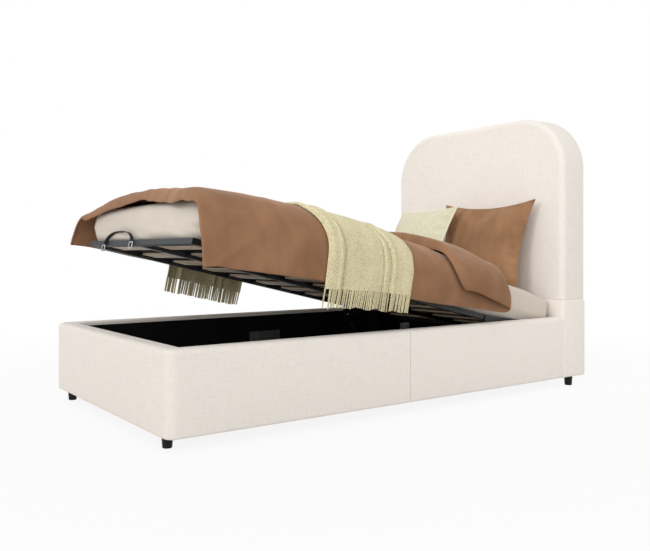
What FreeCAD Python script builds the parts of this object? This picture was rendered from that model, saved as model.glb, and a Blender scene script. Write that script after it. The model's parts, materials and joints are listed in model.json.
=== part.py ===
import FreeCAD, Part
import math
import os

# Upholstered twin storage bed with a lift-up slatted platform, drawn with the platform part way up.
# Millimetres, +Z up, X across the bed, +Y towards the headboard, origin on the floor at mid length.

# Whole bed
bed_width = 1120.0
frame_length = 1997.0
rail_height = 283.0
foot_height = 42.0
edge_overrun = 5.0
pick_tolerance = 0.01

# Upholstered box
rail_thickness = 55.0
foot_panel_thickness = 60.0
rail_edge_radius = 20.0
rail_inner_radius = 12.0
rail_bottom_radius = 5.0
rail_seam_radius = 4.0
foot_corner_radius = 36.0

# Headboard
headboard_depth = 174.0
headboard_height = 1241.0
headboard_base_height = 363.0
headboard_side_inset = 5.0
headboard_front_inset = 4.0
headboard_corner_radius = 256.0
headboard_edge_radius = 28.0
headboard_back_radius = 12.0
headboard_seam_radius = 6.0
soft_edge_steps = 4

# Corner feet and middle leg
foot_top_diameter = 38.0
foot_bottom_diameter = 32.0
front_foot_side_inset = 89.0
rear_foot_side_inset = 25.0
foot_front_inset = 41.0
foot_rear_inset = 100.5
middle_leg_width = 36.0

# Storage floor
ledge_width = 20.0
ledge_height = 18.0
floor_thickness = 9.0
floor_side_gap = 1.0
cross_beam_width = 70.0

# Black lining on the inner walls
lining_thickness = 3.0
lining_drop = 17.0

# Steel joining hardware
bracket_leg = 40.0
bracket_height = 120.0
bracket_thickness = 2.5
bracket_floor_gap = 30.0
rail_plate_length = 180.0
rail_plate_height = 100.0
rail_plate_thickness = 3.0
rail_plate_floor_gap = 60.0
rest_spacing = 700.0
rest_width = 60.0
rest_reach = 32.0
rest_height = 60.0
rest_thickness = 3.0
rest_gap = 0.3
bolt_head_radius = 7.0
bolt_head_height = 4.0
hexagon_sides = 6
bolt_end_shares = (0.25, 0.75)
back_plate_width = 60.0
back_plate_height = 220.0
back_plate_thickness = 3.0
back_plate_spacing = 620.0

# Lift: the photographed angle and the whole opening angle, both from the closed bed
lift_angle = 12.8
open_angle = 40.0

# Slatted platform, set out in the closed position
platform_recess = 26.0
tube_height = 20.0
tube_width = 30.0
tube_wall = 1.5
plug_thickness = 2.0
plug_depth = 12.0
plug_gap = 0.1
platform_foot_gap = 22.0
platform_head_gap = 34.0
slat_rows = 12
slat_width = 62.0
slat_thickness = 8.0
holder_depth = 26.0
holder_wall = 5.0
holder_floor = 6.0
holder_seat = 20.0

# Lift hinge and its two steel plates on each side
pivot_head_gap = 222.0
pivot_drop = 18.0
base_plate_thickness = 5.0
arm_plate_thickness = 5.0
plate_gap = 3.0
pivot_pin_radius = 6.0
pivot_shoulder_radius = 10.0
pivot_head_radius = 7.0
pivot_head_height = 1.6
running_gap = 0.08
base_lobe_radius = 16.0
arm_lobe_radius = 14.0
base_heel_back = 40.0
base_heel_rise = 50.0
base_bolt_shares = ((0.0, 0.32), (0.0, 0.72), (0.5, 0.0), (0.86, 0.0))

# Gas strut: both end studs lie at the same reach from the lift pivot
strut_reach = 230.0
strut_top_angle = 17.0
strut_closed_angle = 48.0
strut_side_gap = 3.0
cylinder_radius = 10.0
cylinder_bore_radius = 8.0
cylinder_cap_thickness = 3.0
cylinder_neck = 16.0
cylinder_gland_length = 8.0
rod_radius = 4.0
rod_gap = 0.1
piston_gap = 0.3
piston_thickness = 6.0
piston_stop_gap = 1.5
eye_height = 18.0
eye_width = 14.0
eye_end_gap = 4.0
stud_radius = 4.0
stud_collar_radius = 7.0
stud_head_height = 2.0

# Pull strap on the foot tube
strap_width = 14.0
strap_thickness = 3.0
strap_left_x = -278.0
strap_right_x = 2.0
strap_rise = 58.0
strap_drop = 6.0
buckle_width = 16.0
buckle_height = 18.0
buckle_wall = 2.0
buckle_gap = 0.2

# Mattress
mattress_side_gap = 4.0
mattress_thickness = 150.0
mattress_foot_gap = 24.0
mattress_head_gap = 34.0
mattress_corner_radius = 60.0
mattress_top_radius = 40.0
mattress_bottom_radius = 18.0

# Duvet, with a turned-back layer at its head end and a flap hanging down each side
duvet_head_gap = 457.0
duvet_foot_overhang = 15.0
duvet_loft = 66.0
duvet_crown = 5.0
duvet_lip_drop = 12.0
duvet_clearance = 1.0
duvet_shoulder_inset = 8.0
duvet_shoulder_drop = 30.0
duvet_edge_width = 55.0
duvet_under_inset = 10.0
flap_rail_gap = 2.0
flap_thickness = 18.0
flap_neck_rise = 6.0
flap_wave = 6.0
near_hem_foot_drop = 239.0
near_hem_head_drop = 128.0
far_hem_foot_drop = 182.0
far_hem_head_drop = 128.0
# Each row: share of the length from the foot, share of the loft, share of the lip, share of the wave
duvet_station_shares = (
    (0.00, 0.20, 1.0, 0.0),
    (0.03, 0.50, 0.0, 0.6),
    (0.10, 0.68, 0.0, 0.0),
    (0.20, 0.90, 0.0, 0.8),
    (0.32, 1.00, 0.0, 0.0),
    (0.62, 1.00, 0.0, 0.0),
    (0.70, 0.97, 0.0, 1.0),
    (0.765, 0.95, 0.0, 0.2),
    (0.785, 1.22, 0.0, 0.4),
    (0.93, 1.22, 0.0, 1.0),
    (1.00, 0.95, 0.0, 0.2),
)
shoulder_arc_shares = (0.27, 0.70)

# Throw laid across the duvet
throw_width_share = 0.2855
throw_foot_share = 0.338
throw_skew_share = 0.045
throw_hem_drop = 265.0
throw_lift = 5.1
throw_valley = 5.0
throw_pleat_rise = 8.0
throw_pleats = 4
throw_shoulder_steps = 4

# Pillows: centre across the bed, bottom edge towards the foot from the lift pivot, and lean
brown_pillow_width = 566.0
brown_pillow_height = 450.0
brown_pillow_depth = 113.0
brown_pillow_x = 158.0
brown_pillow_reach = -40.0
brown_pillow_lean = 0.0
green_pillow_width = 385.0
green_pillow_height = 415.0
green_pillow_depth = 101.0
green_pillow_x = -145.0
green_pillow_reach = 150.0
green_pillow_lean = 12.5
pillow_draw_share = 0.065
pillow_side_steps = 4
pillow_clearance = 0.9
# Each row: share of the outline, share of the half depth
pillow_section_shares = ((1.00, 0.02), (0.93, 0.32), (0.80, 0.66), (0.60, 0.88), (0.34, 0.99))

# Places worked out from the sizes above
total_length = frame_length + headboard_depth
foot_face_y = -total_length / 2
back_face_y = total_length / 2
headboard_front_y = foot_face_y + frame_length
foot_inner_y = foot_face_y + foot_panel_thickness
rail_middle_y = (foot_inner_y + headboard_front_y) / 2
rail_outer_x = bed_width / 2
rail_inner_x = rail_outer_x - rail_thickness
box_z = foot_height
rail_top_z = box_z + rail_height
floor_top_z = box_z + ledge_height + floor_thickness
lining_x = rail_inner_x - lining_thickness
lining_top_z = rail_top_z - lining_drop

base_plate_x = lining_x - base_plate_thickness
arm_plate_outer_x = base_plate_x - plate_gap
platform_x = arm_plate_outer_x - arm_plate_thickness
platform_top_z = rail_top_z - platform_recess
platform_bottom_z = platform_top_z - tube_height
platform_foot_y = foot_inner_y + platform_foot_gap
platform_head_y = headboard_front_y - platform_head_gap

pivot_y = headboard_front_y - pivot_head_gap
pivot_z = rail_top_z - pivot_drop
pivot = FreeCAD.Vector(0, pivot_y, pivot_z)
lift_axis = FreeCAD.Vector(-1, 0, 0)
square_corner_share = 1 - math.sqrt(0.5)
x_axis = FreeCAD.Vector(1, 0, 0)
y_axis = FreeCAD.Vector(0, 1, 0)
z_axis = FreeCAD.Vector(0, 0, 1)

strut_x = platform_x - strut_side_gap - cylinder_radius
mattress_width = 2 * (platform_x - mattress_side_gap)
mattress_foot_y = foot_inner_y + mattress_foot_gap
mattress_head_y = headboard_front_y - mattress_head_gap
mattress_top_z = platform_top_z + mattress_thickness
duvet_foot_y = mattress_foot_y - duvet_foot_overhang
duvet_length = headboard_front_y - duvet_head_gap - duvet_foot_y


def box(x0, x1, y0, y1, z0, z1):
    """A plain box between two corners."""
    return Part.makeBox(x1 - x0, y1 - y0, z1 - z0, FreeCAD.Vector(x0, y0, z0))


def rod_between(start, end, radius):
    """A round bar from one point to another."""
    run = end - start
    return Part.makeCylinder(radius, run.Length, start, run)


def mirrored(shape):
    """The same piece on the other side of the bed."""
    return shape.mirror(FreeCAD.Vector(0, 0, 0), x_axis)


def lifted(shape):
    """A platform piece, turned from closed to the photographed angle."""
    turned = shape.copy()
    turned.rotate(pivot, lift_axis, lift_angle)
    return turned


def near(value, target):
    """Whether two places are the same."""
    return abs(value - target) < pick_tolerance


def chamfered(shape, size, wanted):
    """Take the sharpness off every edge that passes the test."""
    return shape.makeChamfer(size, [edge for edge in shape.Edges if wanted(edge)])


def soft_outline(corners, place):
    """A wire through square corners, each two coordinates and a radius, set in space by a function."""
    arcs = []
    for index, (u, v, radius) in enumerate(corners):
        corner = FreeCAD.Vector(u, v, 0)
        back = FreeCAD.Vector(*corners[index - 1][:2]) - corner
        ahead = FreeCAD.Vector(*corners[(index + 1) % len(corners)][:2]) - corner
        back.normalize()
        ahead.normalize()
        middle = corner + (back + ahead) * radius * square_corner_share
        arcs.append((corner + back * radius, middle, corner + ahead * radius, radius))
    edges = []
    for index, (start, middle, end, radius) in enumerate(arcs):
        if radius > 0:
            edges.append(Part.Arc(place(start), place(middle), place(end)).toShape())
        following = arcs[(index + 1) % len(arcs)][0]
        edges.append(Part.LineSegment(place(end), place(following)).toShape())
    return Part.Wire(edges)


def flat_sided_loft(rings):
    """A solid through level rings of points, each a scaled copy of the last, so that every side is flat."""
    faces = [Part.Face(Part.makePolygon(ring + ring[:1])) for ring in (rings[0], rings[-1])]
    for lower, upper in zip(rings, rings[1:]):
        for index in range(len(lower)):
            before = index - 1
            sides = [lower[before], lower[index], upper[index], upper[before], lower[before]]
            faces.append(Part.Face(Part.makePolygon(sides)))
    return Part.Solid(Part.Shell(faces))


def soft_edge(radius):
    """Drop and draw-in of each step round a soft edge, from the side to the top."""
    turns = [math.pi / 2 * step / soft_edge_steps for step in range(soft_edge_steps + 1)]
    return [(radius * (1 - math.sin(turn)), radius * (1 - math.cos(turn))) for turn in turns]


def block_levels(low, high, low_radius, high_radius):
    """Places along a padded block and the draw-in at each, with a soft edge at both ends."""
    start = [(low + drop, draw) for drop, draw in reversed(soft_edge(low_radius))]
    return start + [(high - drop, draw) for drop, draw in soft_edge(high_radius)]


def lies_at(edge, axis, place):
    """Whether the whole edge lies at one place along an axis."""
    limits = edge.BoundBox
    low = getattr(limits, axis + "Min")
    high = getattr(limits, axis + "Max")
    return near(low, place) and near(high, place)


def rounded_wire_plate(circles, x0, x1):
    """A flat plate across X whose outline is a belt round circles in the YZ plane."""
    count = len(circles)
    normals = []
    for index in range(count):
        y0, z0, r0 = circles[index]
        y1, z1, r1 = circles[(index + 1) % count]
        run = math.hypot(y1 - y0, z1 - z0)
        normals.append(math.atan2(z1 - z0, y1 - y0) - math.acos((r0 - r1) / run))
    edges = []
    for index in range(count):
        y0, z0, r0 = circles[index]
        y1, z1, r1 = circles[(index + 1) % count]
        here = normals[index]
        turn = (normals[(index + 1) % count] - here) % (2 * math.pi)
        start = FreeCAD.Vector(x0, y0 + r0 * math.cos(here), z0 + r0 * math.sin(here))
        end = FreeCAD.Vector(x0, y1 + r1 * math.cos(here), z1 + r1 * math.sin(here))
        edges.append(Part.LineSegment(start, end).toShape())
        on_arc = []
        for share in (0, 0.5, 1):
            angle = here + turn * share
            on_arc.append(FreeCAD.Vector(x0, y1 + r1 * math.cos(angle), z1 + r1 * math.sin(angle)))
        edges.append(Part.Arc(*on_arc).toShape())
    return Part.Face(Part.Wire(edges)).extrude(FreeCAD.Vector(x1 - x0, 0, 0))


def hexagon(place, direction, radius, height):
    """A six-sided bar from a place along a direction."""
    corners = []
    for index in range(hexagon_sides + 1):
        angle = 2 * math.pi * index / hexagon_sides
        flat = FreeCAD.Vector(radius * math.cos(angle), radius * math.sin(angle), 0)
        corners.append(place + FreeCAD.Rotation(z_axis, direction).multVec(flat))
    return Part.Face(Part.makePolygon(corners)).extrude(direction * height)


def bolt_head(place, direction):
    """A bolt head that stands out from a plate, against the bolt's direction."""
    return hexagon(place, direction * -1, bolt_head_radius, bolt_head_height)


def bolted(plate, places):
    """A steel plate with the heads of its bolts."""
    return plate.fuse([bolt_head(place, direction) for place, direction in places]).removeSplitter()


def corner_bolt_places(end_y, inward):
    """Bolts of one +X corner bracket: into the rail, and into the end panel."""
    places = []
    for share in bolt_end_shares:
        z = floor_top_z + bracket_floor_gap + bracket_height * share
        rail_y = end_y + inward * bracket_leg * bolt_end_shares[1]
        places.append((FreeCAD.Vector(lining_x - bracket_thickness, rail_y, z), x_axis))
        end_x = lining_x - bracket_leg * bolt_end_shares[1]
        face_y = end_y + inward * bracket_thickness
        places.append((FreeCAD.Vector(end_x, face_y, z), y_axis * -inward))
    return places


def rail_plate_bolt_places():
    """Bolts of the plate that joins the two halves of the +X rail."""
    x = lining_x - rail_plate_thickness
    low_y = rail_middle_y - rail_plate_length / 2
    low_z = floor_top_z + rail_plate_floor_gap
    return [
        (FreeCAD.Vector(x, low_y + rail_plate_length * along, low_z + rail_plate_height * up), x_axis)
        for along in bolt_end_shares
        for up in bolt_end_shares
    ]


def rest_bolt_places():
    """Bolts of the +X platform rest, into the foot panel."""
    y = foot_inner_y + lining_thickness + rest_thickness
    z = platform_bottom_z - rest_gap - rest_height / 2
    low_x = rest_spacing / 2 - rest_width / 2
    return [(FreeCAD.Vector(low_x + rest_width * share, y, z), y_axis * -1) for share in bolt_end_shares]


def strut_foot():
    """The lower strut stud's place on the rail, in the strut's plane."""
    angle = math.radians(strut_top_angle + strut_closed_angle)
    y = pivot_y - strut_reach * math.cos(angle)
    return FreeCAD.Vector(strut_x, y, pivot_z - strut_reach * math.sin(angle))


def strut_head():
    """The upper strut stud's place on the closed platform, in the strut's plane."""
    angle = math.radians(strut_top_angle)
    y = pivot_y - strut_reach * math.cos(angle)
    return FreeCAD.Vector(strut_x, y, pivot_z - strut_reach * math.sin(angle))


def strut_length(opening):
    """Distance between the strut's studs at an opening angle."""
    return 2 * strut_reach * math.sin(math.radians(strut_closed_angle + opening) / 2)


def base_plate_circles():
    """Lobes of the rail plate, in turn: strut stud, heel and pivot."""
    stud = strut_foot()
    heel_z = floor_top_z + base_heel_rise
    return [
        (stud.y, stud.z, base_lobe_radius),
        (pivot_y + base_heel_back, heel_z, base_lobe_radius),
        (pivot_y, pivot_z, base_lobe_radius),
    ]


def base_plate_bolt_places():
    """Bolts of the +X rail plate, spaced between its lobes."""
    stud, heel, top = base_plate_circles()
    places = []
    for towards_stud, towards_top in base_bolt_shares:
        y = heel[0] + (stud[0] - heel[0]) * towards_stud + (top[0] - heel[0]) * towards_top
        z = heel[1] + (stud[1] - heel[1]) * towards_stud + (top[1] - heel[1]) * towards_top
        places.append((FreeCAD.Vector(base_plate_x, y, z), x_axis))
    return places


def rail_wire(y, draw):
    """Cross-section of the +X side rail, drawn in where it dips into a seam."""
    top = rail_top_z - draw
    outer = rail_outer_x - draw
    corners = [
        (rail_inner_x, box_z, 0), (outer, box_z, rail_bottom_radius),
        (outer, top, rail_edge_radius), (rail_inner_x, top, rail_inner_radius),
    ]
    return soft_outline(corners, lambda at: FreeCAD.Vector(at.x, y, at.y))


def rail_half(y0, y1, seam_at_foot):
    """Half of the +X side rail: a padded board with a soft top that dips into its seams."""
    steps = [(y0, rail_seam_radius), (y0 + rail_seam_radius, 0)] if seam_at_foot else [(y0, 0)]
    steps += [(y1 - rail_seam_radius, 0), (y1, rail_seam_radius)]
    return Part.makeLoft([rail_wire(y, draw) for y, draw in steps], True, True)


def foot_panel_wire(z, draw):
    """Level outline of the foot panel, drawn in round its soft edges but flat on the inside."""
    half = rail_outer_x - draw
    front = foot_face_y + draw
    radius = foot_corner_radius - draw
    corners = [
        (-half, foot_inner_y, 0), (-half, front, radius),
        (half, front, radius), (half, foot_inner_y, 0),
    ]
    return soft_outline(corners, lambda at: FreeCAD.Vector(at.x, at.y, z))


def foot_panel():
    """The padded panel across the foot end, with soft outer corners."""
    levels = block_levels(box_z, rail_top_z, rail_bottom_radius, rail_edge_radius)
    return Part.makeLoft([foot_panel_wire(z, draw) for z, draw in levels], True, True)


def back_plate_box(side):
    """The space of one flush plate across the headboard's joint."""
    middle = side * back_plate_spacing / 2
    joint_z = box_z + headboard_base_height
    return box(
        middle - back_plate_width / 2, middle + back_plate_width / 2,
        back_face_y - back_plate_thickness, back_face_y,
        joint_z - back_plate_height / 2, joint_z + back_plate_height / 2,
    )


def back_pockets():
    """What is cut out of the headboard for its two back plates."""
    return Part.makeCompound([back_plate_box(1), back_plate_box(-1)])


def headboard_base():
    """The lower block of the headboard, which the rails meet."""
    block = box(
        -rail_outer_x, rail_outer_x, headboard_front_y, back_face_y, box_z, box_z + headboard_base_height
    )
    joint_z = box_z + headboard_base_height
    at_back = lambda e: lies_at(e, "Y", back_face_y) and lies_upright(e)
    block = chamfered(block, headboard_back_radius, at_back)
    block = chamfered(block, headboard_seam_radius, lambda e: lies_at(e, "Z", joint_z))
    return block.cut(back_pockets())


def lies_upright(edge):
    """Whether an edge runs straight up."""
    limits = edge.BoundBox
    return near(limits.XMin, limits.XMax) and near(limits.YMin, limits.YMax)


def headboard_wire(y, draw):
    """Outline of the tall panel at one depth, drawn in round its soft edges."""
    half = rail_outer_x - headboard_side_inset - draw
    low = box_z + headboard_base_height
    top = box_z + headboard_height - draw
    radius = headboard_corner_radius - draw
    corners = [(-half, low, 0), (half, low, 0), (half, top, radius), (-half, top, radius)]
    return soft_outline(corners, lambda at: FreeCAD.Vector(at.x, y, at.y))


def headboard_upper():
    """The tall padded panel with large round top corners."""
    front = headboard_front_y + headboard_front_inset
    levels = block_levels(front, back_face_y, headboard_edge_radius, headboard_back_radius)
    panel = Part.makeLoft([headboard_wire(y, draw) for y, draw in levels], True, True)
    return panel.cut(back_pockets())


def back_plates():
    """The two flush steel plates that join the headboard's halves."""
    return Part.makeCompound([back_plate_box(1), back_plate_box(-1)])


def corner_foot(x, y):
    """A tapered round foot under a corner."""
    bottom_radius = foot_bottom_diameter / 2
    top_radius = foot_top_diameter / 2
    return Part.makeCone(bottom_radius, top_radius, foot_height, FreeCAD.Vector(x, y, 0))


def middle_leg():
    """The square leg under the middle of the floor."""
    half = middle_leg_width / 2
    return box(-half, half, rail_middle_y - half, rail_middle_y + half, 0, box_z)


def floor_ledge():
    """The batten along the +X rail that carries the storage floor."""
    x0 = rail_inner_x - ledge_width
    return box(x0, rail_inner_x, foot_inner_y, headboard_front_y, box_z, box_z + ledge_height)


def cross_beam():
    """The beam under the joint of the two floor boards."""
    half = rail_inner_x - ledge_width
    return box(
        -half, half, rail_middle_y - cross_beam_width / 2, rail_middle_y + cross_beam_width / 2,
        box_z, box_z + ledge_height,
    )


def floor_board(y0, y1):
    """One board of the storage floor."""
    half = rail_inner_x - floor_side_gap
    return box(-half, half, y0, y1, box_z + ledge_height, floor_top_z)


def side_lining():
    """The black sheet on the inside of the +X rail."""
    return box(lining_x, rail_inner_x, foot_inner_y, headboard_front_y, floor_top_z, lining_top_z)


def end_lining(y0, y1):
    """The black sheet on the inside of an end of the box."""
    return box(-lining_x, lining_x, y0, y1, floor_top_z, lining_top_z)


def corner_bracket(end_y, inward):
    """A folded steel bracket in one +X corner of the box."""
    z0 = floor_top_z + bracket_floor_gap
    z1 = z0 + bracket_height
    along_y = sorted((end_y, end_y + inward * bracket_leg))
    across_y = sorted((end_y, end_y + inward * bracket_thickness))
    rail_leg = box(lining_x - bracket_thickness, lining_x, along_y[0], along_y[1], z0, z1)
    end_leg = box(lining_x - bracket_leg, lining_x, across_y[0], across_y[1], z0, z1)
    return bolted(rail_leg.fuse(end_leg), corner_bolt_places(end_y, inward))


def corner_brackets():
    """The four corner brackets."""
    foot = corner_bracket(foot_inner_y + lining_thickness, 1)
    head = corner_bracket(headboard_front_y - lining_thickness, -1)
    return Part.makeCompound([foot, head, mirrored(foot), mirrored(head)])


def platform_rests():
    """The two folded brackets on the foot panel that the closed platform lies on."""
    x0 = rest_spacing / 2 - rest_width / 2
    x1 = x0 + rest_width
    y0 = foot_inner_y + lining_thickness
    top = platform_bottom_z - rest_gap
    shelf = box(x0, x1, y0, y0 + rest_reach, top - rest_thickness, top)
    wall = box(x0, x1, y0, y0 + rest_thickness, top - rest_height, top)
    rest = bolted(shelf.fuse(wall), rest_bolt_places())
    return Part.makeCompound([rest, mirrored(rest)])


def rail_plates():
    """The two plates that join the halves of the side rails."""
    plate = box(
        lining_x - rail_plate_thickness, lining_x,
        rail_middle_y - rail_plate_length / 2, rail_middle_y + rail_plate_length / 2,
        floor_top_z + rail_plate_floor_gap, floor_top_z + rail_plate_floor_gap + rail_plate_height,
    )
    plate = bolted(plate, rail_plate_bolt_places())
    return Part.makeCompound([plate, mirrored(plate)])


def base_plate():
    """The steel plate on the +X rail that carries the lift pivot and the strut's lower stud."""
    plate = rounded_wire_plate(base_plate_circles(), base_plate_x, lining_x)
    return bolted(plate, base_plate_bolt_places())


def bar_across(x0, x1, y, z, radius):
    """A round bar across the bed."""
    return rod_between(FreeCAD.Vector(x0, y, z), FreeCAD.Vector(x1, y, z), radius)


def pivot_pin():
    """The pin that the +X arm plate turns on, with a shoulder welded to the rail plate and a head."""
    shoulder_x = arm_plate_outer_x + running_gap
    head_x = platform_x - running_gap
    pin = bar_across(head_x, shoulder_x, pivot_y, pivot_z, pivot_pin_radius)
    shoulder_start = FreeCAD.Vector(shoulder_x, pivot_y, pivot_z)
    shoulder = hexagon(shoulder_start, x_axis, pivot_shoulder_radius, base_plate_x - shoulder_x)
    head_start = FreeCAD.Vector(head_x, pivot_y, pivot_z)
    head = hexagon(head_start, x_axis * -1, pivot_head_radius, pivot_head_height)
    return pin.fuse([shoulder, head]).removeSplitter()


def arm_plate():
    """The steel plate on the platform's +X side tube, with the pivot eye and the strut's upper stud."""
    stud = strut_head()
    tube_middle_z = (platform_top_z + platform_bottom_z) / 2
    toe_radius = tube_height / 2
    circles = [
        (stud.y - arm_lobe_radius, tube_middle_z, toe_radius),
        (stud.y, stud.z, arm_lobe_radius),
        (pivot_y, pivot_z, arm_lobe_radius),
    ]
    plate = rounded_wire_plate(circles, platform_x, arm_plate_outer_x)
    eye = bar_across(platform_x, arm_plate_outer_x, pivot_y, pivot_z, pivot_pin_radius + running_gap)
    return plate.cut(eye)


def stud(place, plate_x):
    """A stud welded to its plate by a collar, with a head that keeps the strut's eye on."""
    head_x = place.x - eye_width / 2 - running_gap
    collar_x = place.x + eye_width / 2 + running_gap
    pin = bar_across(head_x, collar_x, place.y, place.z, stud_radius)
    head_start = FreeCAD.Vector(head_x, place.y, place.z)
    head = hexagon(head_start, x_axis * -1, stud_collar_radius, stud_head_height)
    collar_start = FreeCAD.Vector(collar_x, place.y, place.z)
    collar = hexagon(collar_start, x_axis, stud_collar_radius, plate_x - collar_x)
    return pin.fuse([head, collar]).removeSplitter()


def strut_eye():
    """The end block of a strut, before its hole is drilled."""
    side = eye_width / 2
    half = eye_height / 2
    return box(-side, side, -half, half, -half, half)


def eye_hole():
    """The hole of a strut's end block."""
    half = FreeCAD.Vector(eye_width / 2 + edge_overrun, 0, 0)
    return rod_between(half * -1, half, stud_radius + running_gap)


def cylinder_end():
    """Distance from the lower stud to the mouth of the strut's cylinder."""
    return strut_length(0) - eye_height / 2 - eye_end_gap


def strut_cylinder():
    """The strut's cylinder along +Z, its eye at the origin."""
    end = cylinder_end()
    start = cylinder_neck
    gland = end - cylinder_gland_length
    body = Part.makeCylinder(cylinder_radius, end - start, FreeCAD.Vector(0, 0, start), z_axis)
    floor = start + cylinder_cap_thickness
    bore = Part.makeCylinder(cylinder_bore_radius, gland - floor, FreeCAD.Vector(0, 0, floor), z_axis)
    mouth = Part.makeCylinder(rod_radius + rod_gap, end - gland, FreeCAD.Vector(0, 0, gland), z_axis)
    neck = Part.makeCylinder(rod_radius, start, FreeCAD.Vector(0, 0, 0), z_axis)
    solid = body.cut(bore).cut(mouth).fuse(neck).fuse(strut_eye())
    return solid.cut(eye_hole()).removeSplitter()


def strut_rod():
    """The strut's rod and piston along -Z, its eye at the origin."""
    piston_front = cylinder_end() - cylinder_gland_length - piston_stop_gap
    reach = strut_length(open_angle) - piston_front + piston_thickness
    rod = Part.makeCylinder(rod_radius, reach, FreeCAD.Vector(0, 0, -reach), z_axis)
    piston = Part.makeCylinder(
        cylinder_bore_radius - piston_gap, piston_thickness, FreeCAD.Vector(0, 0, -reach), z_axis
    )
    return rod.fuse(piston).fuse(strut_eye()).cut(eye_hole()).removeSplitter()


def along_strut(shape, place):
    """A strut piece set on its stud, pointing along the strut at the photographed angle."""
    top = lifted(Part.Vertex(strut_head())).Point
    direction = top - strut_foot()
    moved = shape.copy()
    moved.Placement = FreeCAD.Placement(place, FreeCAD.Rotation(z_axis, direction))
    return moved


def square_tube(x0, x1, y0, y1, along):
    """A square steel tube of the platform, open along X or Y."""
    outer = box(x0, x1, y0, y1, platform_bottom_z, platform_top_z)
    cut_x = (-edge_overrun, edge_overrun) if along == "X" else (tube_wall, -tube_wall)
    cut_y = (-edge_overrun, edge_overrun) if along == "Y" else (tube_wall, -tube_wall)
    inner = box(
        x0 + cut_x[0], x1 + cut_x[1], y0 + cut_y[0], y1 + cut_y[1],
        platform_bottom_z + tube_wall, platform_top_z - tube_wall,
    )
    return outer.cut(inner)


def tube_plug(x_end, side, y0):
    """A plastic plug in the open end of a cross tube."""
    cap = sorted((x_end, x_end + side * plug_thickness))
    stem = sorted((x_end, x_end - side * plug_depth))
    inset = tube_wall + plug_gap
    plate = box(cap[0], cap[1], y0, y0 + tube_width, platform_bottom_z, platform_top_z)
    core = box(
        stem[0], stem[1], y0 + inset, y0 + tube_width - inset,
        platform_bottom_z + inset, platform_top_z - inset,
    )
    return plate.fuse(core).removeSplitter()


def tube_plugs():
    """Plugs in both ends of the foot and head tubes."""
    plugs = [
        tube_plug(side * platform_x, side, y0)
        for side in (1, -1)
        for y0 in (platform_foot_y, platform_head_y - tube_width)
    ]
    return Part.makeCompound(plugs)


def slat_places():
    """Middle of each slat along the bed."""
    low = platform_foot_y + tube_width
    pitch = (platform_head_y - tube_width - low) / slat_rows
    return [low + pitch * (row + 0.5) for row in range(slat_rows)]


def slat_row():
    """The wooden slats between the spine and the +X side tube."""
    x0 = tube_width / 2 + holder_depth - holder_seat
    x1 = platform_x - tube_width - holder_depth + holder_seat
    z0 = platform_top_z - slat_thickness
    slats = []
    for y in slat_places():
        slats.append(box(x0, x1, y - slat_width / 2, y + slat_width / 2, z0, platform_top_z))
    return Part.makeCompound(slats)


def slat_holders():
    """The plastic shoes that carry both ends of every slat."""
    spine_x = tube_width / 2
    side_x = platform_x - tube_width
    holders = []
    for y in slat_places():
        y0 = y - slat_width / 2
        y1 = y + slat_width / 2
        slat_z = platform_top_z - slat_thickness
        for x0, x1, seat0, seat1 in (
            (spine_x, spine_x + holder_depth, spine_x + holder_depth - holder_seat, spine_x + holder_depth),
            (side_x - holder_depth, side_x, side_x - holder_depth, side_x - holder_depth + holder_seat),
        ):
            shoe = box(x0, x1, y0 - holder_wall, y1 + holder_wall, slat_z - holder_floor, platform_top_z)
            shoe = shoe.cut(box(seat0, seat1, y0, y1, slat_z, platform_top_z))
            holders.append(shoe)
            holders.append(mirrored(shoe))
    return Part.makeCompound(holders)


def strap_arc(offset):
    """One edge of the strap's arch, moved outwards from its middle line."""
    end_z = platform_bottom_z - strap_drop
    middle_x = (strap_left_x + strap_right_x) / 2
    return [
        FreeCAD.Vector(strap_left_x - offset, platform_foot_y, end_z),
        FreeCAD.Vector(middle_x, platform_foot_y, end_z + strap_rise + offset),
        FreeCAD.Vector(strap_right_x + offset, platform_foot_y, end_z),
    ]


def lift_strap():
    """The webbing pull strap that arches over the foot tube's front."""
    outer = strap_arc(strap_thickness / 2)
    inner = strap_arc(-strap_thickness / 2)
    edges = [
        Part.Arc(*outer).toShape(),
        Part.LineSegment(outer[2], inner[2]).toShape(),
        Part.Arc(*inner[::-1]).toShape(),
        Part.LineSegment(inner[0], outer[0]).toShape(),
    ]
    return Part.Face(Part.Wire(edges)).extrude(FreeCAD.Vector(0, -strap_width, 0))


def strap_buckles():
    """The steel clip that holds each end of the strap to the foot tube."""
    end_z = platform_bottom_z - strap_drop
    slot = strap_slot()
    clips = []
    for x in (strap_left_x, strap_right_x):
        clip = box(
            x - buckle_width / 2, x + buckle_width / 2,
            platform_foot_y - strap_width - buckle_wall, platform_foot_y, end_z, end_z + buckle_height,
        )
        clips.append(clip.cut(slot))
    return Part.makeCompound(clips)


def strap_slot():
    """The strap with a little room round it, cut out of its clips."""
    outer = strap_arc(strap_thickness / 2 + buckle_gap)
    inner = strap_arc(-strap_thickness / 2 - buckle_gap)
    drop = FreeCAD.Vector(0, 0, -buckle_gap)
    edges = [
        Part.Arc(*outer).toShape(),
        Part.LineSegment(outer[2], outer[2] + drop).toShape(),
        Part.LineSegment(outer[2] + drop, inner[2] + drop).toShape(),
        Part.LineSegment(inner[2] + drop, inner[2]).toShape(),
        Part.Arc(*inner[::-1]).toShape(),
        Part.LineSegment(inner[0], inner[0] + drop).toShape(),
        Part.LineSegment(inner[0] + drop, outer[0] + drop).toShape(),
        Part.LineSegment(outer[0] + drop, outer[0]).toShape(),
    ]
    face = Part.Face(Part.Wire(edges))
    return face.extrude(FreeCAD.Vector(0, -strap_width - buckle_gap, 0))


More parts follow.
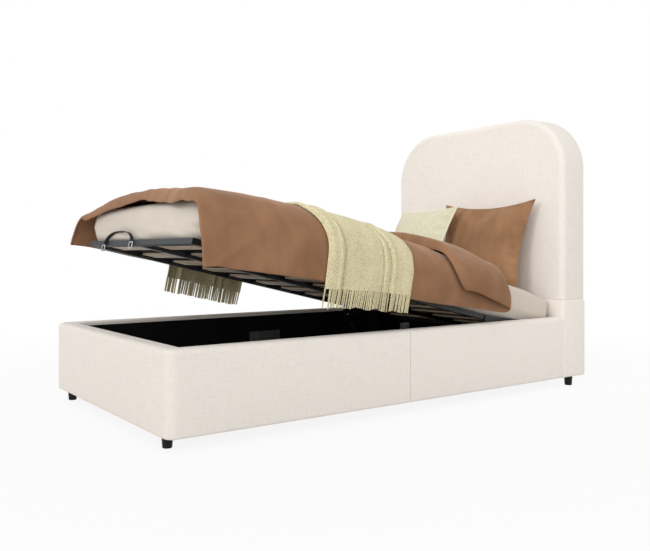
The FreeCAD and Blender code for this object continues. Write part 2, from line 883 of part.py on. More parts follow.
def mattress_wire(z, draw):
    """Level outline of the mattress, drawn in round its soft edges."""
    half = mattress_width / 2 - draw
    y0 = mattress_foot_y + draw
    y1 = mattress_head_y - draw
    radius = mattress_corner_radius - draw
    corners = [(-half, y0, radius), (half, y0, radius), (half, y1, radius), (-half, y1, radius)]
    return soft_outline(corners, lambda at: FreeCAD.Vector(at.x, at.y, z))


def mattress():
    """The mattress, a soft block with round corners and edges."""
    levels = block_levels(platform_top_z, mattress_top_z, mattress_bottom_radius, mattress_top_radius)
    return Part.makeLoft([mattress_wire(z, draw) for z, draw in levels], True, True)


def duvet_flap_x(wave_share):
    """Inner face of a hanging flap, clear of the rail when the bed is closed."""
    return rail_outer_x + flap_rail_gap + flap_wave * wave_share


def duvet_neck_z():
    """Height at which a flap leaves the upright and turns over the mattress."""
    return rail_top_z + flap_neck_rise


def shoulder_points(loft_share, wave_share):
    """Start, middle and end of the duvet's outer shoulder on the +X side, as X and Z."""
    out_x = duvet_flap_x(wave_share) + flap_thickness
    edge_x = mattress_width / 2 - duvet_edge_width
    low_z = duvet_neck_z()
    high_z = mattress_top_z + duvet_loft * loft_share - duvet_crown
    share_x, share_z = shoulder_arc_shares
    middle = (out_x - (out_x - edge_x) * share_x, low_z + (high_z - low_z) * share_z)
    return (out_x, low_z), middle, (edge_x, high_z)


def duvet_section(row):
    """One closed cross-section of the duvet, square to the bed's length."""
    share, loft_share, lip_share, wave_share = row
    y = duvet_foot_y + duvet_length * share
    near_z = mattress_top_z - near_hem_foot_drop + (near_hem_foot_drop - near_hem_head_drop) * share
    far_z = mattress_top_z - far_hem_foot_drop + (far_hem_foot_drop - far_hem_head_drop) * share
    low, middle, high = shoulder_points(loft_share, wave_share)
    in_x = duvet_flap_x(wave_share)
    under_z = mattress_top_z + duvet_clearance - duvet_lip_drop * lip_share
    slope_x = mattress_width / 2 + duvet_shoulder_inset
    slope_z = mattress_top_z - duvet_shoulder_drop
    under_x = mattress_width / 2 - duvet_under_inset

    def at(x, z):
        return FreeCAD.Vector(x, y, z)

    crown = at(0, high[1] + duvet_crown)
    edges = [
        Part.LineSegment(at(low[0], near_z), at(*low)).toShape(),
        Part.Arc(at(*low), at(*middle), at(*high)).toShape(),
        Part.Arc(at(*high), crown, at(-high[0], high[1])).toShape(),
        Part.Arc(at(-high[0], high[1]), at(-middle[0], middle[1]), at(-low[0], low[1])).toShape(),
    ]
    corners = [
        at(-low[0], low[1]), at(-low[0], far_z), at(-in_x, far_z), at(-in_x, low[1]),
        at(-slope_x, slope_z), at(-under_x, under_z), at(under_x, under_z), at(slope_x, slope_z),
        at(in_x, low[1]), at(in_x, near_z), at(low[0], near_z),
    ]
    for start, end in zip(corners, corners[1:]):
        edges.append(Part.LineSegment(start, end).toShape())
    return Part.Wire(edges)


def duvet():
    """The duvet: crowned on top, with a flap that hangs outside each rail."""
    return Part.makeLoft([duvet_section(row) for row in duvet_station_shares], True, True)


def throw_path():
    """Places and outward directions of the throw's underside across the bed, from the +X hem to the other."""
    low, middle, high = shoulder_points(1, 0)
    arc = Part.Arc(*[FreeCAD.Vector(x, 0, z) for x, z in (low, middle, high)]).toShape()
    points = arc.discretize(throw_shoulder_steps + 1)
    right = [(low[0] + throw_lift, mattress_top_z - throw_hem_drop, x_axis)]
    for point in points:
        outward = (point - arc.Curve.Center).normalize()
        place = point + outward * throw_lift
        right.append((place.x, place.z, outward))
    crown = [(0, high[1] + duvet_crown + throw_lift, z_axis)]
    left = [(-x, z, FreeCAD.Vector(-outward.x, 0, outward.z)) for x, z, outward in reversed(right)]
    return right + crown + left


def throw_section(x, z, outward):
    """One section of the throw: flat underneath, soft pleats on top."""
    foot_y = duvet_foot_y + duvet_length * throw_foot_share + throw_skew_share * x
    pleat = duvet_length * throw_width_share / throw_pleats

    def at(share, height):
        base = FreeCAD.Vector(x, foot_y + pleat * share, z)
        return base + outward * height

    edges = []
    for index in range(throw_pleats):
        ridge = at(index + 0.5, throw_valley + throw_pleat_rise)
        edges.append(Part.Arc(at(index, throw_valley), ridge, at(index + 1, throw_valley)).toShape())
    edges.append(Part.LineSegment(at(throw_pleats, throw_valley), at(throw_pleats, 0)).toShape())
    edges.append(Part.LineSegment(at(throw_pleats, 0), at(0, 0)).toShape())
    edges.append(Part.LineSegment(at(0, 0), at(0, throw_valley)).toShape())
    return Part.Wire(edges)


def throw():
    """The throw across the bed, with its pleats and its two hanging ends."""
    return Part.makeLoft([throw_section(*step) for step in throw_path()], True, True)


def pillow_ring(width, height, depth, row):
    """One level of a pillow: four sides that pull in between the pointed corners."""
    scale, depth_share = row
    half_w = width / 2 * scale
    half_h = height / 2 * scale
    y = depth / 2 * depth_share
    draw = pillow_draw_share * min(width, height) * scale
    ring = []
    for start, end, inward in (
        ((-half_w, -half_h), (half_w, -half_h), (0, draw)), ((half_w, -half_h), (half_w, half_h), (-draw, 0)),
        ((half_w, half_h), (-half_w, half_h), (0, -draw)), ((-half_w, half_h), (-half_w, -half_h), (draw, 0)),
    ):
        for step in range(pillow_side_steps):
            share = step / pillow_side_steps
            pull = 1 - (2 * share - 1) ** 2
            x = start[0] + (end[0] - start[0]) * share + inward[0] * pull
            z = start[1] + (end[1] - start[1]) * share + inward[1] * pull
            ring.append(FreeCAD.Vector(x, y, z))
    return ring


def pillow(width, height, depth, x, reach, lean):
    """A filled pillow with pointed corners, stood on the mattress and leant towards the headboard."""
    rows = pillow_section_shares
    back = [(scale, -depth_share) for scale, depth_share in reversed(rows)]
    solid = flat_sided_loft([pillow_ring(width, height, depth, row) for row in back + list(rows)])
    solid.translate(FreeCAD.Vector(0, 0, height / 2))
    solid.rotate(FreeCAD.Vector(0, 0, 0), x_axis, -lean)
    solid.translate(FreeCAD.Vector(x, pivot_y - reach, mattress_top_z + pillow_clearance))
    return lifted(solid)


def box_pieces():
    """The fixed upholstered box, its headboard, feet, floor and lining."""
    foot_half = rail_half(foot_inner_y, rail_middle_y, False)
    head_half = rail_half(rail_middle_y, headboard_front_y, True)
    lining = side_lining()
    ledge = floor_ledge()
    front_x = rail_outer_x - front_foot_side_inset
    rear_x = rail_outer_x - rear_foot_side_inset
    front_y = foot_face_y + foot_front_inset
    rear_y = back_face_y - foot_rear_inset
    return {
        "headboard_upper": headboard_upper(),
        "headboard_base": headboard_base(),
        "headboard_back_plates": back_plates(),
        "side_rail_right_foot_half": foot_half,
        "side_rail_right_head_half": head_half,
        "side_rail_left_foot_half": mirrored(foot_half),
        "side_rail_left_head_half": mirrored(head_half),
        "foot_panel": foot_panel(),
        "lining_right": lining,
        "lining_left": mirrored(lining),
        "lining_foot": end_lining(foot_inner_y, foot_inner_y + lining_thickness),
        "lining_head": end_lining(headboard_front_y - lining_thickness, headboard_front_y),
        "storage_floor_foot_board": floor_board(foot_inner_y, rail_middle_y),
        "storage_floor_head_board": floor_board(rail_middle_y, headboard_front_y),
        "floor_ledge_right": ledge,
        "floor_ledge_left": mirrored(ledge),
        "floor_cross_beam": cross_beam(),
        "middle_leg": middle_leg(),
        "corner_foot_front_right": corner_foot(front_x, front_y),
        "corner_foot_front_left": corner_foot(-front_x, front_y),
        "corner_foot_rear_right": corner_foot(rear_x, rear_y),
        "corner_foot_rear_left": corner_foot(-rear_x, rear_y),
        "corner_brackets": corner_brackets(),
        "rail_joint_plates": rail_plates(),
        "platform_rests": platform_rests(),
    }


def lift_pieces():
    """The lift hinges and gas struts."""
    plate = base_plate()
    pin = pivot_pin()
    arm = lifted(arm_plate())
    lower_stud = stud(strut_foot(), base_plate_x)
    upper_stud = lifted(stud(strut_head(), platform_x))
    cylinder = along_strut(strut_cylinder(), strut_foot())
    rod = along_strut(strut_rod(), lifted(Part.Vertex(strut_head())).Point)
    pieces = {}
    for name, shape in (
        ("lift_base_plate", plate), ("lift_pivot_pin", pin), ("lift_arm_plate", arm),
        ("strut_lower_stud", lower_stud), ("strut_upper_stud", upper_stud),
        ("strut_cylinder", cylinder), ("strut_rod", rod),
    ):
        pieces[name + "_right"] = shape
        pieces[name + "_left"] = mirrored(shape)
    return pieces


def platform_pieces():
    """The slatted steel platform and its pull strap."""
    inner_foot = platform_foot_y + tube_width
    inner_head = platform_head_y - tube_width
    side = square_tube(platform_x - tube_width, platform_x, inner_foot, inner_head, "Y")
    slats = slat_row()
    flat = {
        "platform_side_tube_right": side,
        "platform_side_tube_left": mirrored(side),
        "platform_foot_tube": square_tube(-platform_x, platform_x, platform_foot_y, inner_foot, "X"),
        "platform_head_tube": square_tube(-platform_x, platform_x, inner_head, platform_head_y, "X"),
        "platform_spine": square_tube(-tube_width / 2, tube_width / 2, inner_foot, inner_head, "Y"),
        "platform_tube_plugs": tube_plugs(),
        "slats_right": slats,
        "slats_left": mirrored(slats),
        "slat_holders": slat_holders(),
        "lift_strap": lift_strap(),
        "lift_strap_buckles": strap_buckles(),
    }
    return {name: lifted(shape) for name, shape in flat.items()}


def bedding_pieces():
    """The mattress, duvet, throw and pillows that ride on the platform."""
    return {
        "mattress": lifted(mattress()),
        "duvet": lifted(duvet()),
        "throw": lifted(throw()),
        "pillow_brown": pillow(
            brown_pillow_width, brown_pillow_height, brown_pillow_depth,
            brown_pillow_x, brown_pillow_reach, brown_pillow_lean,
        ),
        "pillow_green": pillow(
            green_pillow_width, green_pillow_height, green_pillow_depth,
            green_pillow_x, green_pillow_reach, green_pillow_lean,
        ),
    }


def main():
    """Build every piece and write one file each."""
    os.makedirs("parts", exist_ok=True)
    for pieces in (box_pieces(), lift_pieces(), platform_pieces(), bedding_pieces()):
        for name, shape in pieces.items():
            shape.exportStep("parts/" + name + ".step")


main()
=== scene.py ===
"""Looks of an upholstered storage bed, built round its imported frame."""

import json
import logging
import math
from dataclasses import dataclass
from enum import Enum
from typing import Callable, Sequence

import bmesh
import bpy
from mathutils import Matrix, Vector, kdtree, noise


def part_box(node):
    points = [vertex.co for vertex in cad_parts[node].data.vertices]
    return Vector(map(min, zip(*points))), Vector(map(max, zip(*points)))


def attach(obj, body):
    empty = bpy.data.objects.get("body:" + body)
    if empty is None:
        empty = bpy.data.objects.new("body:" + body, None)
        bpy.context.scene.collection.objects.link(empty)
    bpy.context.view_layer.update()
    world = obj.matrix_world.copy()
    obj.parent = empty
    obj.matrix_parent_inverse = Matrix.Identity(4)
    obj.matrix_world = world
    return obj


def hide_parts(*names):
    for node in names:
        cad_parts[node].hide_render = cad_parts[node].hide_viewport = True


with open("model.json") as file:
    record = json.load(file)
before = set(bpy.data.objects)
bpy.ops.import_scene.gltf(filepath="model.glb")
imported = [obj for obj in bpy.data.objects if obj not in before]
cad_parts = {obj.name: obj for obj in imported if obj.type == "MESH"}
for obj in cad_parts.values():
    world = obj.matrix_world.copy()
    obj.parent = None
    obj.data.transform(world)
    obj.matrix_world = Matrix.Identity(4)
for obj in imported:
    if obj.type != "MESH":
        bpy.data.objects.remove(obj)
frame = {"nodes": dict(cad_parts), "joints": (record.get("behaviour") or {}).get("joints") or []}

LOG = logging.getLogger("storage_bed")

# Tolerances in metres, and the least part of a normal that makes a face look along an axis
TOUCH = 1e-5
TINY = 1e-6
FACING = 0.9

# Angles in degrees up to which the faces of bedding and of bent bands are shaded smooth
SOFT_ANGLE = 80.0
BENT_ANGLE = 60.0

# An even stretch, or white
EVEN = (1.0, 1.0, 1.0)

Colour = tuple[float, float, float]
Place = tuple[float, float, float]
Stretch = tuple[float, float, float]
Span = tuple[float, float]
Piece = bpy.types.Object
Socket = bpy.types.NodeSocket
Test = Callable[[Vector, Vector], bool]


class Side(Enum):
    """The two long sides of the bed; the value is the sign of x."""

    RIGHT = 1
    LEFT = -1

    @property
    def word(self) -> str:
        """The word that node names use for the side."""
        return self.name.lower()


class Grain(Enum):
    """The direction that the wood grain runs in."""

    ACROSS = (0.12, 1.0, 1.0)
    ALONG = (1.0, 0.12, 1.0)


class Surface(Enum):
    """The two kinds of metal surface."""

    BARE = "bare"
    COATED = "coated"


# Finishes

class NodeBench:
    """One material's node tree, with short calls that add and join nodes."""

    def __init__(self, name: str) -> None:
        """Starts the material with a shader joined to its output.

        Args:
            name: The material's name.
        """
        self.material = bpy.data.materials.new(name)
        self.material.use_nodes = True
        self.tree = self.material.node_tree
        self.tree.nodes.clear()
        self.shader = self.add("ShaderNodeBsdfPrincipled")
        self.output = self.add("ShaderNodeOutputMaterial")
        self.join(self.shader.outputs["BSDF"], self.output.inputs["Surface"])

    @staticmethod
    def fill(node: bpy.types.Node, values: dict[str, object]) -> None:
        """Sets input sockets of a node.

        Args:
            node: The node.
            values: Socket values by socket name, with underscores for spaces.
        """
        for name, value in values.items():
            node.inputs[name.replace("_", " ")].default_value = value

    def add(self, kind: str, **values: object) -> bpy.types.Node:
        """Adds a node and sets its input sockets.

        Args:
            kind: Blender's name of the node type.
            values: Socket values by socket name, with underscores for spaces.

        Returns:
            The new node.
        """
        node = self.tree.nodes.new(kind)
        self.fill(node, values)
        return node

    def set(self, **values: object) -> None:
        """Sets input sockets of the shader, named with underscores for spaces."""
        self.fill(self.shader, values)

    def join(self, source: Socket, target: Socket) -> None:
        """Joins two sockets."""
        self.tree.links.new(source, target)

    def coordinates(self, scale: Sequence[float] = EVEN, source: str = "Object") -> Socket:
        """Gives stretched texture coordinates.

        Args:
            scale: The stretch along each axis.
            source: The output of the Texture Coordinate node, Object or UV.

        Returns:
            The mapped vector socket.
        """
        place = self.add("ShaderNodeTexCoord")
        mapping = self.add("ShaderNodeMapping", Scale=scale)
        self.join(place.outputs[source], mapping.inputs["Vector"])
        return mapping.outputs["Vector"]

    def speckle(self, vector: Socket, scale: float, detail: float = 2.0) -> Socket:
        """Gives noise from 0 to 1.

        Args:
            vector: The coordinates.
            scale: Spots to the metre.
            detail: How many finer layers are added.

        Returns:
            The noise value socket.
        """
        node = self.add("ShaderNodeTexNoise", Scale=scale, Detail=detail)
        self.join(vector, node.inputs["Vector"])
        return node.outputs["Fac"]

    def maths(self, operation: str, *terms: Socket | float) -> Socket:
        """Adds a maths node.

        Args:
            operation: Blender's name of the operation.
            terms: The node's inputs in order, each a socket or a number.

        Returns:
            The result.
        """
        node = self.add("ShaderNodeMath")
        node.operation = operation
        for socket, term in zip(node.inputs, terms):
            if isinstance(term, Socket):
                self.join(term, socket)
            else:
                socket.default_value = term
        return node.outputs[0]

    def sum(self, first: Socket, second: Socket, share: float = 1.0) -> Socket:
        """Adds a share of the second value to the first."""
        return self.maths("MULTIPLY_ADD", second, share, first)

    def centred(self, value: Socket) -> Socket:
        """Shifts noise so that its middle is 0."""
        return self.maths("SUBTRACT", value, 0.5)

    def paint(self, value: Socket, low: Colour, high: Colour, span: Span) -> None:
        """Colours the surface between two colours by a value.

        Args:
            value: The value to read.
            low: The colour at the low end of the span.
            high: The colour at the high end of the span.
            span: The two ends.
        """
        ramp = self.add("ShaderNodeValToRGB")
        for stop, place, colour in zip(ramp.color_ramp.elements, span, (low, high)):
            stop.position = place
            stop.color = (*colour, 1.0)
        self.join(value, ramp.inputs["Fac"])
        self.join(ramp.outputs["Color"], self.shader.inputs["Base Color"])

    def relief(self, height: Socket, depth: float, strength: float) -> None:
        """Gives the surface a fine relief.

        Args:
            height: The height value, about 0 to 1.
            depth: The relief's depth in metres.
            strength: How strongly the relief shows.
        """
        bump = self.add("ShaderNodeBump", Strength=strength, Distance=depth)
        self.join(height, bump.inputs["Height"])
        self.join(bump.outputs["Normal"], self.shader.inputs["Normal"])

    def roughness(self, value: Socket, span: Span, middle: float = 0.0) -> None:
        """Varies the roughness with a value from 0 to 1.

        Args:
            value: The value to read.
            span: The roughness where the value is 0 and where it is 1.
            middle: A roughness that is added to both.
        """
        node = self.add("ShaderNodeMapRange", To_Min=middle + span[0], To_Max=middle + span[1])
        self.join(value, node.inputs["Value"])
        self.join(node.outputs["Result"], self.shader.inputs["Roughness"])


def shade(colour: Colour, share: float) -> Colour:
    """Gives a colour darkened or lightened by a share."""
    return tuple(min(1.0, part * share) for part in colour)


@dataclass(frozen=True)
class Finish:
    """A named finish; each kind lays out its own nodes."""

    name: str
    colour: Colour

    def material(self) -> bpy.types.Material:
        """Gives the finish's material, made on first use.

        Returns:
            The material.
        """
        known = bpy.data.materials.get(f"finish_{self.name}")
        if known:
            return known
        bench = NodeBench(f"finish_{self.name}")
        self.lay(bench)
        return bench.material

    def lay(self, bench: NodeBench) -> None:
        """Lays out the nodes of the finish on a bench."""
        raise NotImplementedError


@dataclass(frozen=True)
class LinenFinish(Finish):
    """Woven upholstery cloth with uneven threads both ways."""

    thread: float = 820.0
    slub: float = 230.0
    slub_share: float = 0.9
    cloud: float = 6.0
    cloud_share: float = 0.10
    stretch: float = 0.10
    contrast: float = 0.075
    lighten: float = 0.6
    span: Span = (0.82, 1.18)
    rough: Span = (0.82, 0.98)
    depth: float = 0.0006
    sheen: float = 0.10

    def crossed(self, bench: NodeBench, scale: float) -> Socket:
        """Crosses three sets of stretched noise, so every face shows threads both ways.

        Args:
            bench: The material's bench.
            scale: Threads to the metre.

        Returns:
            The mean of the three sets.
        """
        layers = []
        for axis in range(3):
            stretch = list(EVEN)
            stretch[axis] = self.stretch
            layers.append(bench.speckle(bench.coordinates(stretch), scale, detail=1.0))
        total = bench.sum(bench.sum(layers[0], layers[1]), layers[2])
        return bench.maths("MULTIPLY", total, 1.0 / len(layers))

    def lay(self, bench: NodeBench) -> None:
        """Lays fine threads over thicker slubs and a faint cloud of shade.

        Args:
            bench: The material's bench.
        """
        threads = self.crossed(bench, self.thread)
        slubs = self.crossed(bench, self.slub)
        cloud = bench.speckle(bench.coordinates(), self.cloud)
        weave = bench.sum(bench.sum(threads, slubs, self.slub_share), cloud, self.cloud_share)
        dark = shade(self.colour, 1.0 - self.contrast)
        light = shade(self.colour, 1.0 + self.contrast * self.lighten)
        bench.paint(weave, dark, light, self.span)
        bench.set(Sheen_Weight=self.sheen, Sheen_Roughness=0.6, Specular_IOR_Level=0.15)
        bench.roughness(threads, self.rough)
        bench.relief(threads, self.depth, strength=0.7)


@dataclass(frozen=True)
class SuedeFinish(Finish):
    """Brushed short-nap cloth whose nap lies in soft patches."""

    patch: float = 3.8
    brush: float = 22.0
    brush_stretch: Stretch = (1.0, 0.6, 0.35)
    brush_share: float = 0.55
    nap: float = 950.0
    nap_share: float = 0.22
    contrast: float = 0.18
    light_tint: Colour = (1.0, 1.05, 1.12)
    span: Span = (0.42, 0.80)
    rough: Span = (0.80, 0.95)
    depth: float = 0.0004
    sheen: float = 0.30
    sheen_tint: Colour = (0.95, 0.75, 0.58)

    def lay(self, bench: NodeBench) -> None:
        """Mixes broad nap patches and brush marks with fine fibres.

        Args:
            bench: The material's bench.
        """
        place = bench.coordinates()
        broad = bench.speckle(place, self.patch, detail=4.0)
        marks = bench.speckle(bench.coordinates(self.brush_stretch), self.brush, detail=3.0)
        patches = bench.sum(broad, bench.centred(marks), self.brush_share)
        fibres = bench.speckle(place, self.nap)
        mixed = bench.sum(patches, fibres, self.nap_share)
        dark = shade(self.colour, 1.0 - self.contrast)
        light = shade(self.colour, 1.0 + self.contrast)
        light = tuple(part * tint for part, tint in zip(light, self.light_tint))
        bench.paint(mixed, dark, light, self.span)
        bench.set(Sheen_Weight=self.sheen, Sheen_Roughness=0.45, Sheen_Tint=(*self.sheen_tint, 1.0))
        bench.set(Specular_IOR_Level=0.12)
        bench.roughness(patches, self.rough)
        bench.relief(fibres, self.depth, strength=0.5)


@dataclass(frozen=True)
class KnitFinish(Finish):
    """Heathered knit of pale and dark yarn."""

    fleck: Colour = (0.30, 0.25, 0.12)
    stitch: float = 300.0
    row_pitch: float = 1.6
    row_stretch: Stretch = (0.25, 1.0, 1.0)
    row_share: float = 0.5
    cloud: float = 14.0
    cloud_share: float = 0.15
    span: Span = (0.54, 0.88)
    rough: Span = (0.85, 1.0)
    depth: float = 0.0012

    def lay(self, bench: NodeBench) -> None:
        """Flecks the yarn and raises the stitches.

        Args:
            bench: The material's bench.
        """
        place = bench.coordinates()
        yarn = bench.speckle(place, self.stitch, detail=3.0)
        rows = bench.speckle(bench.coordinates(self.row_stretch), self.stitch * self.row_pitch, detail=1.0)
        cloud = bench.speckle(place, self.cloud)
        mixed = bench.sum(bench.sum(yarn, rows, self.row_share), cloud, self.cloud_share)
        bench.paint(mixed, self.fleck, self.colour, self.span)
        bench.set(Sheen_Weight=0.2, Sheen_Roughness=0.7, Specular_IOR_Level=0.1)
        bench.roughness(yarn, self.rough)
        bench.relief(mixed, self.depth, strength=0.8)


@dataclass(frozen=True)
class SheetFinish(Finish):
    """Plain smooth bed-sheet cotton."""

    weave: float = 1400.0
    weave_share: float = 0.12
    cloud: float = 9.0
    darken: float = 0.95
    span: Span = (0.42, 0.72)
    rough: Span = (0.78, 0.92)
    depth: float = 0.0002

    def lay(self, bench: NodeBench) -> None:
        """Adds a fine weave and faint soft clouds of shade.

        Args:
            bench: The material's bench.
        """
        place = bench.coordinates()
        weave = bench.speckle(place, self.weave, detail=1.0)
        cloud = bench.speckle(place, self.cloud, detail=3.0)
        mixed = bench.sum(cloud, weave, self.weave_share)
        bench.paint(mixed, shade(self.colour, self.darken), self.colour, self.span)
        bench.set(Sheen_Weight=0.1, Specular_IOR_Level=0.2)
        bench.roughness(cloud, self.rough)
        bench.relief(weave, self.depth, strength=0.5)


@dataclass(frozen=True)
class FeltFinish(Finish):
    """Black non-woven lining cloth with short pressed fibres."""

    fibre: float = 700.0
    fibre_stretch: Stretch = (0.3, 1.0, 0.5)
    cloud: float = 12.0
    cloud_share: float = 0.3
    lighten: float = 1.8
    span: Span = (0.5, 0.9)
    rough: Span = (0.88, 1.0)
    depth: float = 0.0005

    def lay(self, bench: NodeBench) -> None:
        """Presses crossed fibres into a matt ground.

        Args:
            bench: The material's bench.
        """
        fibres = bench.speckle(bench.coordinates(self.fibre_stretch), self.fibre, detail=3.0)
        cloud = bench.speckle(bench.coordinates(), self.cloud)
        mixed = bench.sum(fibres, cloud, self.cloud_share)
        bench.paint(mixed, self.colour, shade(self.colour, self.lighten), self.span)
        bench.set(Specular_IOR_Level=0.1)
        bench.roughness(fibres, self.rough)
        bench.relief(fibres, self.depth, strength=0.6)


@dataclass(frozen=True)
class WoodFinish(Finish):
    """Planed wood or wood-faced board with a straight grain."""

    grain: Grain = Grain.ALONG
    contrast: float = 0.30
    gloss: float = 0.55
    band: float = 45.0
    pore: float = 420.0
    pore_share: float = 0.35
    lighten: float = 0.4
    span: Span = (0.48, 0.84)
    rough: Span = (-0.08, 0.12)
    depth: float = 0.0002

    def lay(self, bench: NodeBench) -> None:
        """Stretches noise along the grain and adds fine pores.

        Args:
            bench: The material's bench.
        """
        place = bench.coordinates(self.grain.value)
        bands = bench.speckle(place, self.band, detail=4.0)
        pores = bench.speckle(place, self.pore)
        mixed = bench.sum(bands, pores, self.pore_share)
        dark = shade(self.colour, 1.0 - self.contrast)
        light = shade(self.colour, 1.0 + self.contrast * self.lighten)
        bench.paint(mixed, dark, light, self.span)
        bench.set(Specular_IOR_Level=0.35)
        bench.roughness(bands, self.rough, self.gloss)
        bench.relief(pores, self.depth, strength=0.4)


@dataclass(frozen=True)
class MetalFinish(Finish):
    """Steel, bare and brushed or under a powder coat."""

    surface: Surface = Surface.BARE
    gloss: float = 0.35
    peel: float = 850.0
    peel_share: float = 0.2
    mark: float = 26.0
    darken: float = 0.86
    span: Span = (0.40, 0.75)
    rough: Span = (-0.06, 0.10)
    bare_depth: float = 0.00003
    coat_depth: float = 0.00012

    def lay(self, bench: NodeBench) -> None:
        """Adds fine orange peel to a coat, or faint handling marks to bare metal.

        Args:
            bench: The material's bench.
        """
        place = bench.coordinates()
        peel = bench.speckle(place, self.peel, detail=1.0)
        marks = bench.speckle(place, self.mark, detail=4.0)
        mixed = bench.sum(marks, peel, self.peel_share)
        bench.paint(mixed, shade(self.colour, self.darken), self.colour, self.span)
        bare = self.surface is Surface.BARE
        bench.set(Metallic=1.0 if bare else 0.0)
        bench.roughness(marks, self.rough, self.gloss)
        bench.relief(peel, self.bare_depth if bare else self.coat_depth, strength=0.5)


@dataclass(frozen=True)
class PlasticFinish(Finish):
    """Moulded plastic with a fine spark-eroded grain."""

    gloss: float = 0.5
    texture: float = 1100.0
    scuff: float = 60.0
    lighten: float = 1.6
    span: Span = (0.5, 0.8)
    rough: Span = (-0.06, 0.14)
    depth: float = 0.00012

    def lay(self, bench: NodeBench) -> None:
        """Adds the grain and a little scuffing.

        Args:
            bench: The material's bench.
        """
        place = bench.coordinates()
        texture = bench.speckle(place, self.texture, detail=1.0)
        scuffs = bench.speckle(place, self.scuff, detail=4.0)
        bench.paint(scuffs, self.colour, shade(self.colour, self.lighten), self.span)
        bench.set(Specular_IOR_Level=0.2)
        bench.roughness(scuffs, self.rough, self.gloss)
        bench.relief(texture, self.depth, strength=0.5)


@dataclass(frozen=True)
class WebbingFinish(Finish):
    """Black woven strap with ribs across it."""

    ribs: float = 90.0
    rib_stretch: Stretch = (1.0, 0.08, 1.0)
    unevenness: float = 0.6
    lighten: float = 2.4
    span: Span = (0.3, 0.9)
    rough: Span = (0.6, 0.8)
    depth: float = 0.0004

    def lay(self, bench: NodeBench) -> None:
        """Runs a wave along the strap's own map for the ribs.

        Args:
            bench: The material's bench.
        """
        wave = bench.add("ShaderNodeTexWave", Scale=self.ribs, Distortion=self.unevenness)
        bench.join(bench.coordinates(self.rib_stretch, "UV"), wave.inputs["Vector"])
        ribs = wave.outputs["Fac"]
        bench.paint(ribs, self.colour, shade(self.colour, self.lighten), self.span)
        bench.roughness(ribs, self.rough)
        bench.relief(ribs, self.depth, strength=0.6)


CREAM_LINEN = LinenFinish("cream_linen", (0.83, 0.778, 0.722))
# Black felt for the box's linings, also laid under the mattress as painted shade
BLACK_FELT_AND_PAINTED_SHADE = FeltFinish("black_felt", (0.006, 0.006, 0.006))
BLACK_BOARD = WoodFinish("black_board", (0.010, 0.010, 0.010), Grain.ALONG, 0.25, 0.62)
PINE_BATTEN = WoodFinish("pine_batten", (0.48, 0.31, 0.17), Grain.ALONG, 0.34, 0.6)
BIRCH_SLAT = WoodFinish("birch_slat", (0.74, 0.57, 0.42), Grain.ACROSS, 0.26, 0.5)
BLACK_FOOT = PlasticFinish("black_foot", (0.006, 0.0055, 0.005), 0.5)
BLACK_PLASTIC = PlasticFinish("black_plastic", (0.012, 0.012, 0.012), 0.5)
ZINC_STEEL = MetalFinish("zinc_steel", (0.55, 0.55, 0.53), Surface.BARE, 0.36)
CHROME = MetalFinish("chrome", (0.78, 0.78, 0.79), Surface.BARE, 0.14)
# Black coated steel for the lift plates and strut cylinders, also laid on the platform's side tubes, head
# tube and spine as painted shade
BLACK_STEEL_AND_PAINTED_SHADE = MetalFinish("black_steel", (0.018, 0.018, 0.019), Surface.COATED, 0.42)
BLUE_GREY_STEEL = MetalFinish("blue_grey_steel", (0.040, 0.046, 0.050), Surface.COATED, 0.62)
BLACK_WEBBING = WebbingFinish("black_webbing", (0.010, 0.010, 0.010))
WHITE_SHEET = SheetFinish("white_sheet", (0.66, 0.595, 0.52))
BROWN_SUEDE = SuedeFinish("brown_suede", (0.270, 0.134, 0.068))
PILLOW_SUEDE = SuedeFinish("pillow_suede", (0.305, 0.158, 0.080))
GREEN_KNIT = KnitFinish("green_knit", (0.715, 0.635, 0.40), (0.24, 0.22, 0.10))
PALE_KNIT = KnitFinish("pale_knit", (0.71, 0.675, 0.51), (0.40, 0.40, 0.24))
PALE_WELT = KnitFinish("pale_welt", (0.80, 0.77, 0.60), (0.60, 0.58, 0.40))


# Modelling steps

def pick(piece: Piece) -> None:
    """Makes one piece the only selected and active object.

    Args:
        piece: The piece.
    """
    bpy.ops.object.select_all(action="DESELECT")
    piece.select_set(True)
    bpy.context.view_layer.objects.active = piece


def add_block(name: str, low: Vector, high: Vector) -> Piece:
    """Adds a cube that fills a box, with its place in its mesh.

    Args:
        name: The piece's name.
        low: The box's lowest corner.
        high: The box's highest corner.

    Returns:
        The new piece.
    """
    bpy.ops.object.select_all(action="DESELECT")
    bpy.ops.mesh.primitive_cube_add(size=1.0, location=(low + high) / 2)
    piece = bpy.context.active_object
    piece.name = name
    piece.scale = high - low
    bpy.ops.object.transform_apply(location=True, rotation=True, scale=True)
    return piece


def add_surface(name: str, columns: int, rows: int, point: Callable[[float, float], Vector]) -> Piece:
    """Adds a grid and lays each of its points on a surface.

    Args:
        name: The piece's name.
        columns: The number of faces along u.
        rows: The number of faces along v.
        point: Gives the place for u and v from 0 to 1.

    Returns:
        The new piece.
    """
    bpy.ops.object.select_all(action="DESELECT")
    bpy.ops.mesh.primitive_grid_add(x_subdivisions=columns, y_subdivisions=rows, size=1.0,
                                    location=(0, 0, 0))
    piece = bpy.context.active_object
    piece.name = name
    for vertex in piece.data.vertices:
        vertex.co = point(vertex.co.x + 0.5, vertex.co.y + 0.5)
    return piece


def open_up(piece: Piece, mode: str) -> bmesh.types.BMesh:
    """Enters edit mode with nothing selected.

    Args:
        piece: The piece.
        mode: What can be selected, EDGE or FACE.

    Returns:
        The piece's mesh in edit mode.
    """
    pick(piece)
    bpy.ops.object.mode_set(mode="EDIT")
    bpy.ops.mesh.select_mode(type=mode)
    bpy.ops.mesh.select_all(action="DESELECT")
    return bmesh.from_edit_mesh(piece.data)


